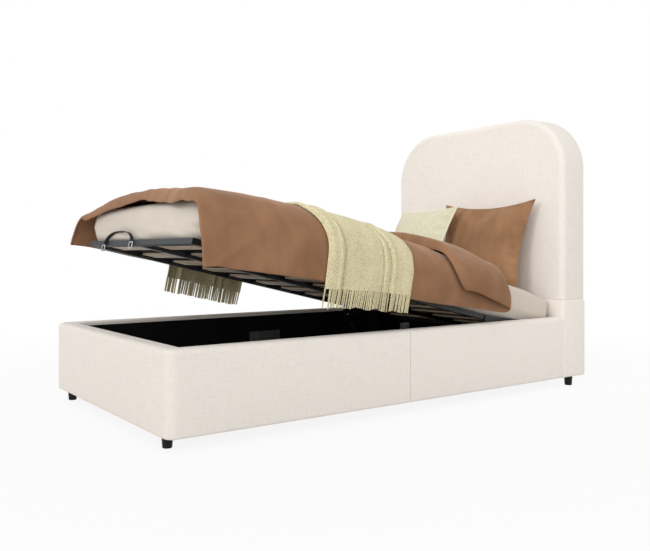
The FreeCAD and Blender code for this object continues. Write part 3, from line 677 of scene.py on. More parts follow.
def lies_on(**planes: float) -> Test:
    """Makes a test for edges that lie on one or more planes.

    Args:
        planes: The place of each plane by its axis, x, y or z.

    Returns:
        A test that is true when both ends of an edge lie on every plane.
    """
    def test(first: Vector, second: Vector) -> bool:
        """True for an edge on every plane."""
        return all(abs(getattr(end, axis) - place) < TOUCH
                   for end in (first, second) for axis, place in planes.items())
    return test


def either(one: Test, other: Test) -> Test:
    """Joins two tests into one that either of them passes."""
    return lambda first, second: one(first, second) or other(first, second)


def but_not(wanted: Test, unwanted: Test) -> Test:
    """Takes what passes the second test out of the first."""
    return lambda first, second: wanted(first, second) and not unwanted(first, second)


def choose_edges(piece: Piece, test: Test) -> None:
    """Enters edit mode with only some edges selected.

    Args:
        piece: The piece.
        test: Tells from its two ends whether an edge is selected.
    """
    mesh = open_up(piece, "EDGE")
    for edge in mesh.edges:
        edge.select_set(test(edge.verts[0].co, edge.verts[1].co))
    bmesh.update_edit_mesh(piece.data)


def choose_faces(piece: Piece, test: Test) -> None:
    """Enters edit mode with only some faces selected.

    Args:
        piece: The piece.
        test: Tells from its middle and its normal whether a face is selected.
    """
    mesh = open_up(piece, "FACE")
    for face in mesh.faces:
        face.select_set(test(face.calc_center_median(), face.normal))
    bmesh.update_edit_mesh(piece.data)


def round_edges(piece: Piece, test: Test, radius: float, segments: int) -> None:
    """Rounds the edges that pass a test.

    Args:
        piece: The piece.
        test: Tells from its two ends whether an edge is rounded.
        radius: The radius in metres.
        segments: The number of faces round the edge.
    """
    choose_edges(piece, test)
    bpy.ops.mesh.bevel(offset=radius, segments=segments, affect="EDGES", clamp_overlap=True)
    bpy.ops.object.mode_set(mode="OBJECT")


def apply_modifier(piece: Piece, kind: str, **settings: object) -> None:
    """Adds a modifier, sets it and applies it.

    Args:
        piece: The piece.
        kind: Blender's name of the modifier type.
        settings: The modifier's settings by name.
    """
    pick(piece)
    modifier = piece.modifiers.new(kind.lower(), kind)
    for name, value in settings.items():
        setattr(modifier, name, value)
    bpy.ops.object.modifier_apply(modifier=modifier.name)


def smooth(piece: Piece, angle: float = 40.0) -> None:
    """Shades a piece smooth where its faces meet below an angle in degrees."""
    pick(piece)
    bpy.ops.object.shade_smooth_by_angle(angle=math.radians(angle))


def close_up(piece: Piece, reach: float = 0.00005) -> None:
    """Merges doubled points and turns all faces outwards.

    Args:
        piece: The piece.
        reach: How near to each other doubled points lie.
    """
    pick(piece)
    bpy.ops.object.mode_set(mode="EDIT")
    bpy.ops.mesh.select_all(action="SELECT")
    bpy.ops.mesh.remove_doubles(threshold=reach)
    bpy.ops.mesh.normals_make_consistent(inside=False)
    bpy.ops.object.mode_set(mode="OBJECT")


def join_all(name: str, pieces: Sequence[Piece]) -> Piece:
    """Joins several pieces into one mesh.

    Args:
        name: The joined piece's name.
        pieces: The pieces, the first of which is kept.

    Returns:
        The joined piece.
    """
    bpy.ops.object.select_all(action="DESELECT")
    for piece in pieces:
        piece.select_set(True)
    bpy.context.view_layer.objects.active = pieces[0]
    if len(pieces) > 1:
        bpy.ops.object.join()
    pieces[0].name = name
    return pieces[0]


def dress(piece: Piece, finish: Finish) -> None:
    """Gives a piece one finish all over."""
    piece.data.materials.clear()
    piece.data.materials.append(finish.material())


def dress_nodes(names: Sequence[str], finish: Finish) -> None:
    """Gives carried-over CAD nodes a finish.

    Args:
        names: The nodes' names.
        finish: Their finish.
    """
    for name in names:
        dress(frame["nodes"][name], finish)
        LOG.info("dressed node %s with %s", name, finish.name)


def settle(piece: Piece, finish: Finish | None, body: str, slot: str, *nodes: str) -> None:
    """Dresses a new piece, puts it on its body and lets it stand for its nodes.

    Args:
        piece: The piece.
        finish: Its finish, or None for a piece that is dressed already.
        body: The body that it moves with.
        slot: The record's material slot, which is not used.
        nodes: The CAD nodes that it stands for.
    """
    if finish:
        dress(piece, finish)
    if nodes:
        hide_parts(*nodes)
    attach(piece, body)
    LOG.info("built %s with %d faces on %s", piece.name, len(piece.data.polygons), body)


def corners(node: str) -> tuple[Vector, Vector]:
    """Gives the lowest and highest corner of a CAD node."""
    low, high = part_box(node)
    return Vector(low), Vector(high)


def blend_step(value: float, low: float, high: float) -> float:
    """Rises smoothly from 0 at low to 1 at high."""
    share = max(0.0, min(1.0, (value - low) / (high - low)))
    return share * share * (3.0 - 2.0 * share)


def swell(value: float, middle: float, width: float) -> float:
    """Gives a smooth bump of height 1 round a middle."""
    return math.exp(-((value - middle) / width) ** 2)


@dataclass(frozen=True)
class Profile:
    """A smooth line through knots, each a place and a value, in rising order."""

    knots: tuple[Span, ...]

    def at(self, place: float) -> float:
        """Gives the value at a place, held level beyond both ends.

        Args:
            place: The place along the line.

        Returns:
            The value there.
        """
        knots = self.knots
        if place <= knots[0][0]:
            return knots[0][1]
        if place >= knots[-1][0]:
            return knots[-1][1]
        index = max(i for i in range(len(knots) - 1) if knots[i][0] <= place)
        (x0, y0), (x1, y1) = knots[index], knots[index + 1]
        before = knots[max(index - 1, 0)]
        after = knots[min(index + 2, len(knots) - 1)]
        rise0 = (y1 - before[1]) / (x1 - before[0])
        rise1 = (after[1] - y0) / (after[0] - x0)
        step = x1 - x0
        t = (place - x0) / step
        return (y0 * (2 * t ** 3 - 3 * t ** 2 + 1) + rise0 * step * (t ** 3 - 2 * t ** 2 + t)
                + y1 * (3 * t ** 2 - 2 * t ** 3) + rise1 * step * (t ** 3 - t ** 2))


@dataclass(frozen=True)
class PlatformSpace:
    """Places on the lifted platform, measured from its pivot line.

    A place has x across the bed, s from the pivot towards the foot and w above the pivot, with the
    platform closed. The lift that the rest pose shows is added here.
    """

    pivot: Vector
    lift: float
    mattress_top: float = 0.142
    mattress_bottom: float = -0.008
    mattress_foot: float = 1.691
    mattress_head: float = -0.188
    mattress_half: float = 0.485

    @classmethod
    def from_frame(cls) -> "PlatformSpace":
        """Reads the pivot and the lift from the frame's lift joint.

        Returns:
            The platform's space.
        """
        joint = next(item for item in frame["joints"] if item["name"] == "platform_lift")
        pivot = Vector(joint["pos_m"])
        return cls(pivot, -math.radians(joint["range_deg"][0]))

    def place(self, x: float, s: float, w: float) -> Vector:
        """Gives a platform place in the row frame.

        Args:
            x: Across the bed.
            s: From the pivot towards the foot.
            w: Above the pivot.

        Returns:
            The point in metres.
        """
        cosine, sine = math.cos(self.lift), math.sin(self.lift)
        return Vector((x, self.pivot.y - s * cosine + w * sine, self.pivot.z + s * sine + w * cosine))


# Upholstered box and headboard

@dataclass
class UpholsteredBox:
    """The padded side rails and foot panel of the storage box, and its feet."""

    outer_radius: float = 0.020
    inner_radius: float = 0.012
    bottom_radius: float = 0.010
    corner_radius: float = 0.036
    seam: float = 0.0032
    joint_gap: float = 0.001
    foot_taper: float = 0.842
    foot_round: float = 0.004
    foot_sides: int = 36

    def rail_half(self, side: Side, end: str) -> None:
        """Builds one half of a side rail with soft edges.

        Its ends are drawn in to a seam, all but the one at the foot panel.

        Args:
            side: The side that it is on.
            end: The half, foot or head.
        """
        node = f"side_rail_{side.word}_{end}_half"
        low, high = corners(node)
        if end == "foot":
            high.y -= self.joint_gap
        else:
            low.y += self.joint_gap
        piece = add_block(f"padded_{node}", low, high)
        outer = high.x if side is Side.RIGHT else low.x
        inner = low.x if side is Side.RIGHT else high.x
        round_edges(piece, lies_on(x=outer, z=high.z), self.outer_radius, segments=6)
        round_edges(piece, lies_on(x=inner, z=high.z), self.inner_radius, segments=4)
        round_edges(piece, lies_on(x=outer, z=low.z), self.bottom_radius, segments=3)
        self.pinch_end(piece, 1)
        if end == "head":
            self.pinch_end(piece, -1)
        smooth(piece)
        settle(piece, CREAM_LINEN, "box", "upholstery_cream", node)

    def pinch_end(self, piece: Piece, sign: int) -> None:
        """Draws an end in to a seam.

        Args:
            piece: The padded piece.
            sign: The end, as the sign of y.
        """
        choose_faces(piece, lambda middle, normal: normal.y * sign > FACING)
        bpy.ops.mesh.inset(thickness=self.seam, depth=0.0)
        bpy.ops.object.mode_set(mode="OBJECT")
        ends = [vertex.co.y for vertex in piece.data.vertices]
        edge = max(ends) if sign > 0 else min(ends)
        inset = {index for face in piece.data.polygons if face.normal.y * sign > FACING
                 and len(face.vertices) > 4 for index in face.vertices}
        for vertex in piece.data.vertices:
            if abs(vertex.co.y - edge) < TINY and vertex.index not in inset:
                vertex.co.y -= sign * self.seam

    def foot_panel(self) -> None:
        """Builds the foot panel with its two rounded corners."""
        low, high = corners("foot_panel")
        piece = add_block("padded_foot_panel", low, high)
        inside = lies_on(y=high.y)
        uprights = either(lies_on(x=low.x, y=low.y), lies_on(x=high.x, y=low.y))
        round_edges(piece, uprights, self.corner_radius, segments=10)
        round_edges(piece, but_not(lies_on(z=high.z), inside), self.outer_radius, segments=6)
        round_edges(piece, lies_on(y=high.y, z=high.z), self.inner_radius, segments=4)
        round_edges(piece, but_not(lies_on(z=low.z), inside), self.bottom_radius, segments=3)
        smooth(piece)
        settle(piece, CREAM_LINEN, "box", "upholstery_cream", "foot_panel")

    def corner_foot(self, place: str) -> None:
        """Builds a tapered round foot with a soft rim and a thin glide under it.

        Args:
            place: Where it is, such as front_right.
        """
        node = f"corner_foot_{place}"
        low, high = corners(node)
        top = (high.x - low.x) / 2
        middle = (low + high) / 2
        bpy.ops.object.select_all(action="DESELECT")
        bpy.ops.mesh.primitive_cone_add(vertices=self.foot_sides, radius1=top * self.foot_taper,
                                        radius2=top, depth=high.z - low.z, location=middle)
        piece = bpy.context.active_object
        piece.name = f"tapered_{node}"
        bpy.ops.object.transform_apply(location=True, rotation=True, scale=True)
        choose_faces(piece, lambda centre, normal: normal.z < -FACING)
        bpy.ops.mesh.inset(thickness=self.foot_round, depth=0.0)
        bpy.ops.object.mode_set(mode="OBJECT")
        reach = top * self.foot_taper - self.foot_round / 2

        def bottom_rim(first: Vector, second: Vector) -> bool:
            """True for the edge round the foot's bottom, outside the glide."""
            return all(end.z < low.z + TOUCH and (end - middle).xy.length > reach
                       for end in (first, second))

        round_edges(piece, bottom_rim, self.foot_round / 2, segments=3)
        smooth(piece)
        settle(piece, BLACK_FOOT, "box", "foot_black", node)

    def build(self) -> None:
        """Builds the rails, the foot panel and the feet."""
        for side in Side:
            for end in ("foot", "head"):
                self.rail_half(side, end)
        self.foot_panel()
        for place in ("front_right", "front_left", "rear_right", "rear_left"):
            self.corner_foot(place)


@dataclass
class Headboard:
    """The arched headboard and the plinth under it."""

    corner_radius: float = 0.256
    front_radius: float = 0.028
    back_radius: float = 0.012
    bottom_radius: float = 0.004
    plinth_radius: float = 0.009
    back_ease: float = 0.0015
    plate_half: float = 0.030
    screw_radius: float = 0.0065
    screw_head: float = 0.0026
    screw_round: float = 0.6
    screw_sides: int = 24
    screw_socket: float = 0.0034
    socket_depth: float = 0.7
    socket_draft: float = 0.0003
    screw_rows: tuple[float, ...] = (-0.085, -0.035, 0.035, 0.085)

    def arched_panel(self) -> None:
        """Builds the arched upper panel with a padded front edge."""
        low, high = corners("headboard_upper")
        high.y -= self.back_ease
        piece = add_block("padded_headboard_arch", low, high)
        bottom = lies_on(z=low.z)
        shoulders = either(lies_on(x=low.x, z=high.z), lies_on(x=high.x, z=high.z))
        round_edges(piece, shoulders, self.corner_radius, segments=28)
        round_edges(piece, but_not(lies_on(y=low.y), bottom), self.front_radius, segments=7)
        round_edges(piece, but_not(lies_on(y=high.y), bottom), self.back_radius, segments=4)
        round_edges(piece, bottom, self.bottom_radius, segments=2)
        smooth(piece)
        settle(piece, CREAM_LINEN, "box", "upholstery_cream", "headboard_upper")

    def plinth(self) -> None:
        """Builds the block under the arch that the side rails meet."""
        low, high = corners("headboard_base")
        high.y -= self.back_ease
        piece = add_block("padded_headboard_plinth", low, high)
        round_edges(piece, lambda first, second: True, self.plinth_radius, segments=4)
        smooth(piece)
        settle(piece, CREAM_LINEN, "box", "upholstery_cream", "headboard_base")

    def screw(self, place: Vector) -> Piece:
        """Builds a socket screw head whose top looks along y.

        Args:
            place: The middle of the seat under the head.

        Returns:
            The screw head.
        """
        bpy.ops.object.select_all(action="DESELECT")
        bpy.ops.mesh.primitive_cylinder_add(vertices=self.screw_sides, radius=self.screw_radius,
                                            depth=self.screw_head, rotation=(-math.pi / 2, 0.0, 0.0),
                                            location=place + Vector((0.0, self.screw_head / 2, 0.0)))
        piece = bpy.context.active_object
        bpy.ops.object.transform_apply(location=True, rotation=True, scale=True)
        top = place.y + self.screw_head
        rim = self.screw_head * self.screw_round
        round_edges(piece, lies_on(y=top), rim, segments=3)
        choose_faces(piece, lambda middle, normal: normal.y > FACING and middle.y > top - TOUCH)
        bpy.ops.mesh.inset(thickness=self.screw_radius - rim - self.screw_socket, depth=0.0)
        bpy.ops.mesh.inset(thickness=self.socket_draft, depth=-self.screw_head * self.socket_depth)
        bpy.ops.object.mode_set(mode="OBJECT")
        return piece

    def plate_screws(self) -> None:
        """Builds the screw heads of the two plates that join the arch to the plinth."""
        low, high = corners("headboard_back_plates")
        joint = (low.z + high.z) / 2
        columns = (low.x + self.plate_half, high.x - self.plate_half)
        heads = [self.screw(Vector((x, high.y, joint + row))) for x in columns for row in self.screw_rows]
        piece = join_all("back_plate_screws", heads)
        close_up(piece)
        smooth(piece)
        settle(piece, ZINC_STEEL, "box", "zinc_steel")

    def build(self) -> None:
        """Builds the arch, the plinth and the steel plates behind them."""
        self.arched_panel()
        self.plinth()
        dress_nodes(["headboard_back_plates"], ZINC_STEEL)
        self.plate_screws()


# Box inside and lift

@dataclass
class StorageInside:
    """The lined inside of the box and its fixed hardware."""

    def build(self) -> None:
        """Dresses the linings, boards, battens and brackets."""
        dress_nodes(["lining_right", "lining_left", "lining_foot", "lining_head"], BLACK_FELT_AND_PAINTED_SHADE)
        dress_nodes(["storage_floor_foot_board", "storage_floor_head_board"], BLACK_BOARD)
        dress_nodes(["floor_ledge_right", "floor_ledge_left", "floor_cross_beam"], PINE_BATTEN)
        dress_nodes(["middle_leg"], BLACK_FOOT)
        dress_nodes(["corner_brackets", "rail_joint_plates"], ZINC_STEEL)
        dress_nodes(["platform_rests"], BLACK_PLASTIC)


@dataclass
class LiftPlatform:
    """The steel slat platform, its lift hardware and its pull strap."""

    space: PlatformSpace
    strap_left: float = -0.278
    strap_right: float = 0.002
    strap_foot: float = 1.693
    strap_low: Span = (-0.044, -0.034)
    strap_rise: float = 0.064
    strap_square: float = 2.6
    strap_width: float = 0.014
    strap_thickness: float = 0.003
    strap_columns: int = 48
    strap_rows: int = 4
    loop_width: float = 0.033
    loop_height: float = 0.027
    loop_wire: float = 0.0022
    loop_round: float = 0.45
    loop_shift: float = 0.016
    loop_lift: float = 0.002

    def dress_hardware(self) -> None:
        """Dresses the tubes, slats, plates and struts."""
        for side in Side:
            word = side.word
            dress_nodes([f"lift_base_plate_{word}", f"lift_arm_plate_{word}"], BLACK_STEEL_AND_PAINTED_SHADE)
            dress_nodes([f"lift_pivot_pin_{word}"], ZINC_STEEL)
            dress_nodes([f"strut_lower_stud_{word}", f"strut_upper_stud_{word}"], ZINC_STEEL)
            # The side tubes take the black steel as painted shade, standing in for the shade under the
            # platform
            dress_nodes([f"strut_cylinder_{word}", f"platform_side_tube_{word}"], BLACK_STEEL_AND_PAINTED_SHADE)
            dress_nodes([f"strut_rod_{word}"], CHROME)
            dress_nodes([f"slats_{word}"], BIRCH_SLAT)
        dress_nodes(["platform_foot_tube"], BLUE_GREY_STEEL)
        # The head tube and the spine take the black steel as painted shade too, while the foot tube keeps
        # its blue-grey coat
        dress_nodes(["platform_head_tube", "platform_spine"], BLACK_STEEL_AND_PAINTED_SHADE)
        dress_nodes(["platform_tube_plugs", "slat_holders"], BLACK_PLASTIC)

    def strap_line(self, share: float) -> tuple[float, float]:
        """Gives the strap's middle line.

        Args:
            share: How far along the strap, from 0 to 1.

        Returns:
            The place as x and w.
        """
        half = (self.strap_right - self.strap_left) / 2
        middle = (self.strap_right + self.strap_left) / 2
        angle = (1.0 - share) * math.pi
        power = 2.0 / self.strap_square
        across = math.copysign(abs(math.cos(angle)) ** power, math.cos(angle))
        low = self.strap_low[0] + (self.strap_low[1] - self.strap_low[0]) * share
        return middle + half * across, low + self.strap_rise * math.sin(angle) ** power

    def strap(self) -> None:
        """Builds the webbing strap that arches over the foot tube's front."""
        def on_strap(u: float, v: float) -> Vector:
            """Gives a point of the band."""
            x, w = self.strap_line(u)
            return self.space.place(x, self.strap_foot + self.strap_width * v, w)
        piece = add_surface("webbing_pull_strap", self.strap_columns, self.strap_rows, on_strap)
        apply_modifier(piece, "SOLIDIFY", thickness=self.strap_thickness, offset=0.0)
        close_up(piece)
        smooth(piece, BENT_ANGLE)
        settle(piece, BLACK_WEBBING, "platform", "webbing_black", "lift_strap")

    def wire_loops(self) -> None:
        """Builds the two square steel loops that hold the strap's ends."""
        pieces = []
        for x, end in zip((self.strap_left, self.strap_right), self.strap_low):
            half = Vector((self.loop_width / 2, self.loop_wire, self.loop_height / 2))
            centre = Vector((x + self.loop_shift, 0.0, 0.0))
            piece = add_block("loop", centre - half, centre + half)
            choose_faces(piece, lambda middle, normal: abs(normal.y) > FACING)
            bpy.ops.mesh.inset(thickness=2 * self.loop_wire, depth=0.0)
            bpy.ops.mesh.bridge_edge_loops()
            bpy.ops.object.mode_set(mode="OBJECT")
            round_edges(piece, lambda first, second: True, self.loop_wire * self.loop_round, segments=2)
            turn = Matrix.Rotation(-self.space.lift, 4, "X")
            front = self.strap_foot + self.strap_width + self.loop_wire
            move = Matrix.Translation(self.space.place(0.0, front, end + self.loop_lift))
            piece.data.transform(move @ turn)
            pieces.append(piece)
        joined = join_all("strap_square_loops", pieces)
        close_up(joined)
        smooth(joined)
        settle(joined, ZINC_STEEL, "platform", "zinc_steel", "lift_strap_buckles")

    def build(self) -> None:
        """Dresses the hardware and builds the strap with its loops."""
        self.dress_hardware()
        self.strap()
        self.wire_loops()


# Bedding

@dataclass
class Mattress:
    """The mattress in its fitted sheet."""

    space: PlatformSpace
    cuts: int = 46
    foot_corner: float = 0.058
    head_corner: float = 0.028
    foot_top_radius: float = 0.046
    head_top_radius: float = 0.026
    bottom_radius: float = 0.030
    end_top_radius: float = 0.042
    foot_spread: float = 0.058
    foot_span: Span = (1.30, 1.60)
    foot_rise: Span = (0.028, 0.060)
    head_bulge: float = 0.010
    head_span: Span = (0.25, 0.60)
    head_rise: Span = (0.015, 0.06)
    head_dome: float = 0.020
    dome_start: Span = (-0.16, 0.02)
    dome_end: Span = (0.10, 0.45)
    dome_edge: float = 0.4
    wall_bulge: float = 0.005
    bulge_middle: float = 0.07
    bulge_width: float = 0.05
    crumple: float = 0.012
    crumple_top: float = 0.06
    side_crumple: float = 0.4
    # How far down a face must look to take the black felt, painted shade under the mattress
    painted_shade_facing: float = 0.96

    def shape(self, point: Vector) -> Vector:
        """Gives the soft block's place for a point of the unit cube.

        Args:
            point: A point of the cube from -1 to 1.

        Returns:
            The point in the row frame.
        """
        space = self.space
        half_length = (space.mattress_foot - space.mattress_head) / 2
        half_height = (space.mattress_top - space.mattress_bottom) / 2
        halves = (space.mattress_half, half_length, half_height)
        across, along, up = (math.sin(part * math.pi / 2) * half for part, half in zip(point, halves))
        corner = self.foot_corner if along > 0 else self.head_corner
        inner_x = space.mattress_half - corner
        inner_y = half_length - corner
        core = Vector((max(-inner_x, min(inner_x, across)), max(-inner_y, min(inner_y, along))))
        out = Vector((across, along)) - core
        wall = max(abs(across) / space.mattress_half, abs(along) / half_length)
        reach = max(abs(out.x), abs(out.y))
        side = out.normalized() if out.length > TINY else Vector((0.0, 0.0))
        radius = self.bottom_radius
        if up > 0 and along > 0:
            radius = self.foot_top_radius
        elif up > 0:
            radius = self.head_top_radius + (self.end_top_radius - self.head_top_radius) * side.y ** 2
        over = max(0.0, abs(up) - half_height + radius)
        inset = radius - math.sqrt(max(0.0, radius * radius - over * over))
        flat = core + side * max(0.0, reach - inset * wall ** 6)
        s = (space.mattress_foot + space.mattress_head) / 2 + flat.y
        w = (space.mattress_top + space.mattress_bottom) / 2 + up
        ripple = noise.noise(Vector((flat.x * 11 + w * 20, s * 11, w * 22))) * self.crumple
        ripple *= 1.0 - blend_step(w, 0.0, self.crumple_top)
        bulge = self.wall_bulge * swell(w, self.bulge_middle, self.bulge_width)
        head = (1.0 - blend_step(s, *self.head_span)) * blend_step(w, *self.head_rise) * wall ** 4
        s += max(0.0, side.y) * (ripple + bulge)
        foot = blend_step(s, *self.foot_span) * blend_step(w, *self.foot_rise)
        wider = (self.head_bulge * head + self.foot_spread * foot) * abs(side.x)
        x = flat.x + side.x * (ripple * self.side_crumple + bulge) + math.copysign(wider, flat.x)
        if up > 0:
            dome = blend_step(s, *self.dome_start) * (1.0 - blend_step(s, *self.dome_end))
            w += self.head_dome * dome * (1.0 - self.dome_edge * wall ** 4) * up / half_height
        return space.place(x, s, w)

    def build(self) -> None:
        bpy.ops.object.select_all(action="DESELECT")
        bpy.ops.mesh.primitive_cube_add(size=2.0, location=(0, 0, 0))
        piece = bpy.context.active_object
        piece.name = "sheeted_mattress"
        pick(piece)
        bpy.ops.object.mode_set(mode="EDIT")
        bpy.ops.mesh.select_all(action="SELECT")
        bpy.ops.mesh.subdivide(number_cuts=self.cuts)
        bpy.ops.object.mode_set(mode="OBJECT")
        for vertex in piece.data.vertices:
            vertex.co = self.shape(vertex.co)
        close_up(piece)
        smooth(piece, SOFT_ANGLE)
        settle(piece, WHITE_SHEET, "platform", "mattress_white", "mattress")
        # The downward faces take the black felt as painted shade, standing in for the shade under the
        # mattress that shows between the slats
        piece.data.materials.append(BLACK_FELT_AND_PAINTED_SHADE.material())
        down = self.space.place(0.0, 0.0, -1.0) - self.space.place(0.0, 0.0, 0.0)
        for face in piece.data.polygons:
            face.material_index = 1 if face.normal.dot(down) > self.painted_shade_facing else 0


@dataclass(frozen=True)
class ClothLine:
    """Where one line across the duvet runs, and how the cloth is folded there.

    A line has its place s along the bed, its lay outside the duvet's own outline, how far the lip
    droops, the share that is turned back and the share of the fold's height, the last three from 0 to 1.
    """

    s: float
    lay: float = 0.0
    droop: float = 0.0
    fold: float = 0.0
    raised: float = 0.0


def across_cloth(v: float, near_run: float, far_run: float) -> tuple[Side, float, float]:
    """Finds a place across a cloth that hangs over both sides.

    Args:
        v: Across the cloth from the near hem to the far hem, from 0 to 1.
        near_run: The cloth's length from the middle line to the near hem.
        far_run: The cloth's length from the middle line to the far hem.

    Returns:
        The side, the cloth's length from the middle line and that side's whole length.
    """
    length = v * (near_run + far_run)
    if length < near_run:
        return Side.RIGHT, near_run - length, near_run
    return Side.LEFT, length - near_run, far_run


@dataclass
class Duvet:
    """The duvet, turned back over itself at the head end."""

    space: PlatformSpace
    columns: int = 128
    rows: int = 90
    thickness: float = 0.0075

    # Lengths along the cloth
    foot_edge: float = 1.702
    head_edge: float = 0.254
    turn_back: float = 0.550
    lip: float = 0.055
    turn: float = 0.060
    turn_depth: float = 0.016
    roll: float = 0.050
    nose: float = 0.020

    # Outline across the bed
    neck: float = 0.024
    fullness: float = 2.45
    shoulder: float = 0.80
    probe: float = 0.004
    crown: Profile = Profile(((0.20, 0.006), (1.30, 0.006), (1.70, 0.030)))
    outer: Profile = Profile(((0.20, 0.571), (0.60, 0.574), (1.00, 0.580), (1.70, 0.580)))
    half_top: Profile = Profile(((0.20, 0.400), (1.40, 0.400), (1.70, 0.385)))
    loft: Profile = Profile(((0.20, 0.060), (0.58, 0.064), (0.80, 0.068), (1.02, 0.072), (1.235, 0.071),
                             (1.41, 0.061), (1.56, 0.045), (1.66, 0.028), (1.70, 0.012)))

    # Hems
    near_hem: Profile = Profile(((0.20, 0.016), (0.488, -0.012), (0.66, -0.028), (0.754, -0.033),
                                 (1.218, -0.053), (1.341, -0.064), (1.462, -0.075), (1.577, -0.086),
                                 (1.665, -0.092), (1.70, -0.104)))
    far_hem: Profile = Profile(((0.20, 0.016), (0.70, -0.004), (1.288, -0.019), (1.471, -0.023),
                                (1.615, -0.026), (1.70, -0.036)))
    fold_hem: Profile = Profile(((0.20, 0.026), (0.36, 0.036), (0.50, 0.048)))

    # Turned back part
    fold_lift: float = 0.024
    fold_puff: float = 0.005
    fold_rise: float = 0.066
    rise_half: float = 0.52
    rise_start: float = 0.025
    rise_end: float = 0.43
    fold_calm: float = 0.6
    edge_gap: float = 0.0035
    side_gap: float = 0.008
    side_gap_span: Span = (0.42, 0.55)
    corner_reach: float = 0.170
    corner_depth: float = 0.110
    corner_turn: float = 0.97
    sweep: float = 0.030
    sweep_reach: float = 0.50
    sweep_length: float = 0.20
    sweep_span: Span = (0.25, 0.42)

    # Wrinkles
    soft_fold: float = 0.006
    fine_fold: float = 0.0028
    ridge_fold: float = 0.0046
    wave_pitch: float = 19.0
    wave_height: float = 0.0030
    hang_lift: float = 0.003
    hang_span: Span = (0.60, 0.80)
    crease_foot: float = 1.685
    crease_reach: float = 0.79
    crease_slant: float = 1.5
    crease_width: float = 0.016
    crease_height: float = 0.013
    crease_low: Span = (0.62, 0.72)
    crease_near_foot: Span = (1.48, 1.58)
    side_dip: float = 0.001
    top_dip: float = 0.010
    dip_span: Span = (0.42, 0.60)

    # Foot end
    front_span: Span = (1.46, 1.70)
    near_front: Profile = Profile(((0.0, 0.0), (0.30, 0.010), (0.42, 0.034), (0.52, 0.044), (0.62, 0.028),
                                   (0.70, 0.0), (0.79, -0.022)))
    far_front: Profile = Profile(((0.0, 0.0), (0.25, 0.002), (0.40, 0.010), (0.48, 0.022), (0.60, 0.040),
                                  (0.72, 0.049)))
    far_sag: float = 0.022
    sag_middle: float = 0.46
    sag_width: float = 0.08
    edge_zone: float = 0.04
    edge_wave: float = 0.006
    lip_fall: Profile = Profile(((-0.48, 0.040), (-0.30, 0.052), (-0.12, 0.052), (0.02, 0.040),
                                 (0.12, 0.050), (0.28, 0.052), (0.38, 0.052), (0.46, 0.044)))
    lip_span: Span = (0.47, 0.58)
    lip_power: float = 1.2
    lip_push: float = 0.010
    lip_draw: float = 0.012

    def side_run(self, s: float, lay: float) -> float:
        """Measures the cloth round one shoulder.

        Args:
            s: The place along the bed.
            lay: How far the cloth lies outside the duvet's own outline.

        Returns:
            The cloth's length.
        """
        across = self.outer.at(s) + lay - self.half_top.at(s)
        up = self.space.mattress_top + self.loft.at(s) + lay - self.neck
        return (across + up) * self.shoulder

    def section(self, s: float, reach: float, lay: float) -> tuple[float, float]:
        """Gives the duvet's outline across the bed.

        Args:
            s: The place along the bed.
            reach: The cloth's length from the middle line.
            lay: How far the cloth lies outside the duvet's own outline.

        Returns:
            The place as x and w on the near side.
        """
        top = self.space.mattress_top + self.loft.at(s) + lay
        flat = self.half_top.at(s)
        if reach <= flat:
            return reach, top + self.crown.at(s) * (1.0 - (reach / flat) ** 2)
        out = self.outer.at(s) + lay
        run = self.side_run(s, lay)
        if reach <= flat + run:
            angle = (1.0 - (reach - flat) / run) * math.pi / 2
            power = 2.0 / self.fullness
            x = flat + (out - flat) * math.cos(angle) ** power
            return x, self.neck + (top - self.neck) * math.sin(angle) ** power
        return out, self.neck - (reach - flat - run)

    def outward(self, s: float, reach: float, lay: float) -> tuple[float, float]:
        """Gives the outward direction across the bed.

        Args:
            s: The place along the bed.
            reach: The cloth's length from the middle line.
            lay: How far the cloth lies outside the duvet's own outline.

        Returns:
            The direction as x and w on the near side.
        """
        x0, w0 = self.section(s, max(0.0, reach - self.probe), lay)
        x1, w1 = self.section(s, reach + self.probe, lay)
        length = math.hypot(x1 - x0, w1 - w0) or 1.0
        return -(w1 - w0) / length, (x1 - x0) / length

    def wrinkle(self, side: Side, s: float, reach: float) -> float:
        """Gives the soft folds' height at a place on the cloth.

        Args:
            side: The side of the bed.
            s: The place along the bed.
            reach: The cloth's length from the middle line.

        Returns:
            The height outwards.
        """
        across = reach * side.value
        soft = noise.noise(Vector((s * 2.6, across * 3.0, 0.3))) * self.soft_fold
        fine = noise.noise(Vector((s * 9.0 + across * 4.0, across * 7.0, 4.2))) * self.fine_fold
        ridge = 1.0 - abs(noise.noise(Vector((s * 5.0 - across * 3.0, across * 6.5, 7.7))))
        fine += ridge ** 6 * self.ridge_fold
        hang = blend_step(reach, *self.hang_span)
        wave = math.sin(s * self.wave_pitch + side.value) * self.wave_height * hang
        crease = 0.0
        if side is Side.RIGHT:
            line = (self.crease_foot - s) - (self.crease_reach - reach) * self.crease_slant
            crease = swell(line, 0.0, self.crease_width) * self.crease_height
            crease *= blend_step(reach, *self.crease_low) * blend_step(s, *self.crease_near_foot)
        return soft + fine + wave + crease + self.hang_lift * hang

    def rounded(self, s: float, reach: float, whole: float) -> float:
        """Rounds the turned back part's hanging corner.

        Args:
            s: The place along the bed.
            reach: The cloth's length from the middle line.
            whole: The reach at the hem.

        Returns:
            The rounded place along the bed.
        """
        turned = min(1.0, max(0.0, 1.0 - (whole - reach) / self.corner_reach))
        full = self.turn_back + self.nose - self.head_edge
        cut = self.corner_depth * (1.0 - math.sqrt(1.0 - (self.corner_turn * turned) ** 2))
        return self.head_edge + (s - self.head_edge) * (1.0 - cut / full)

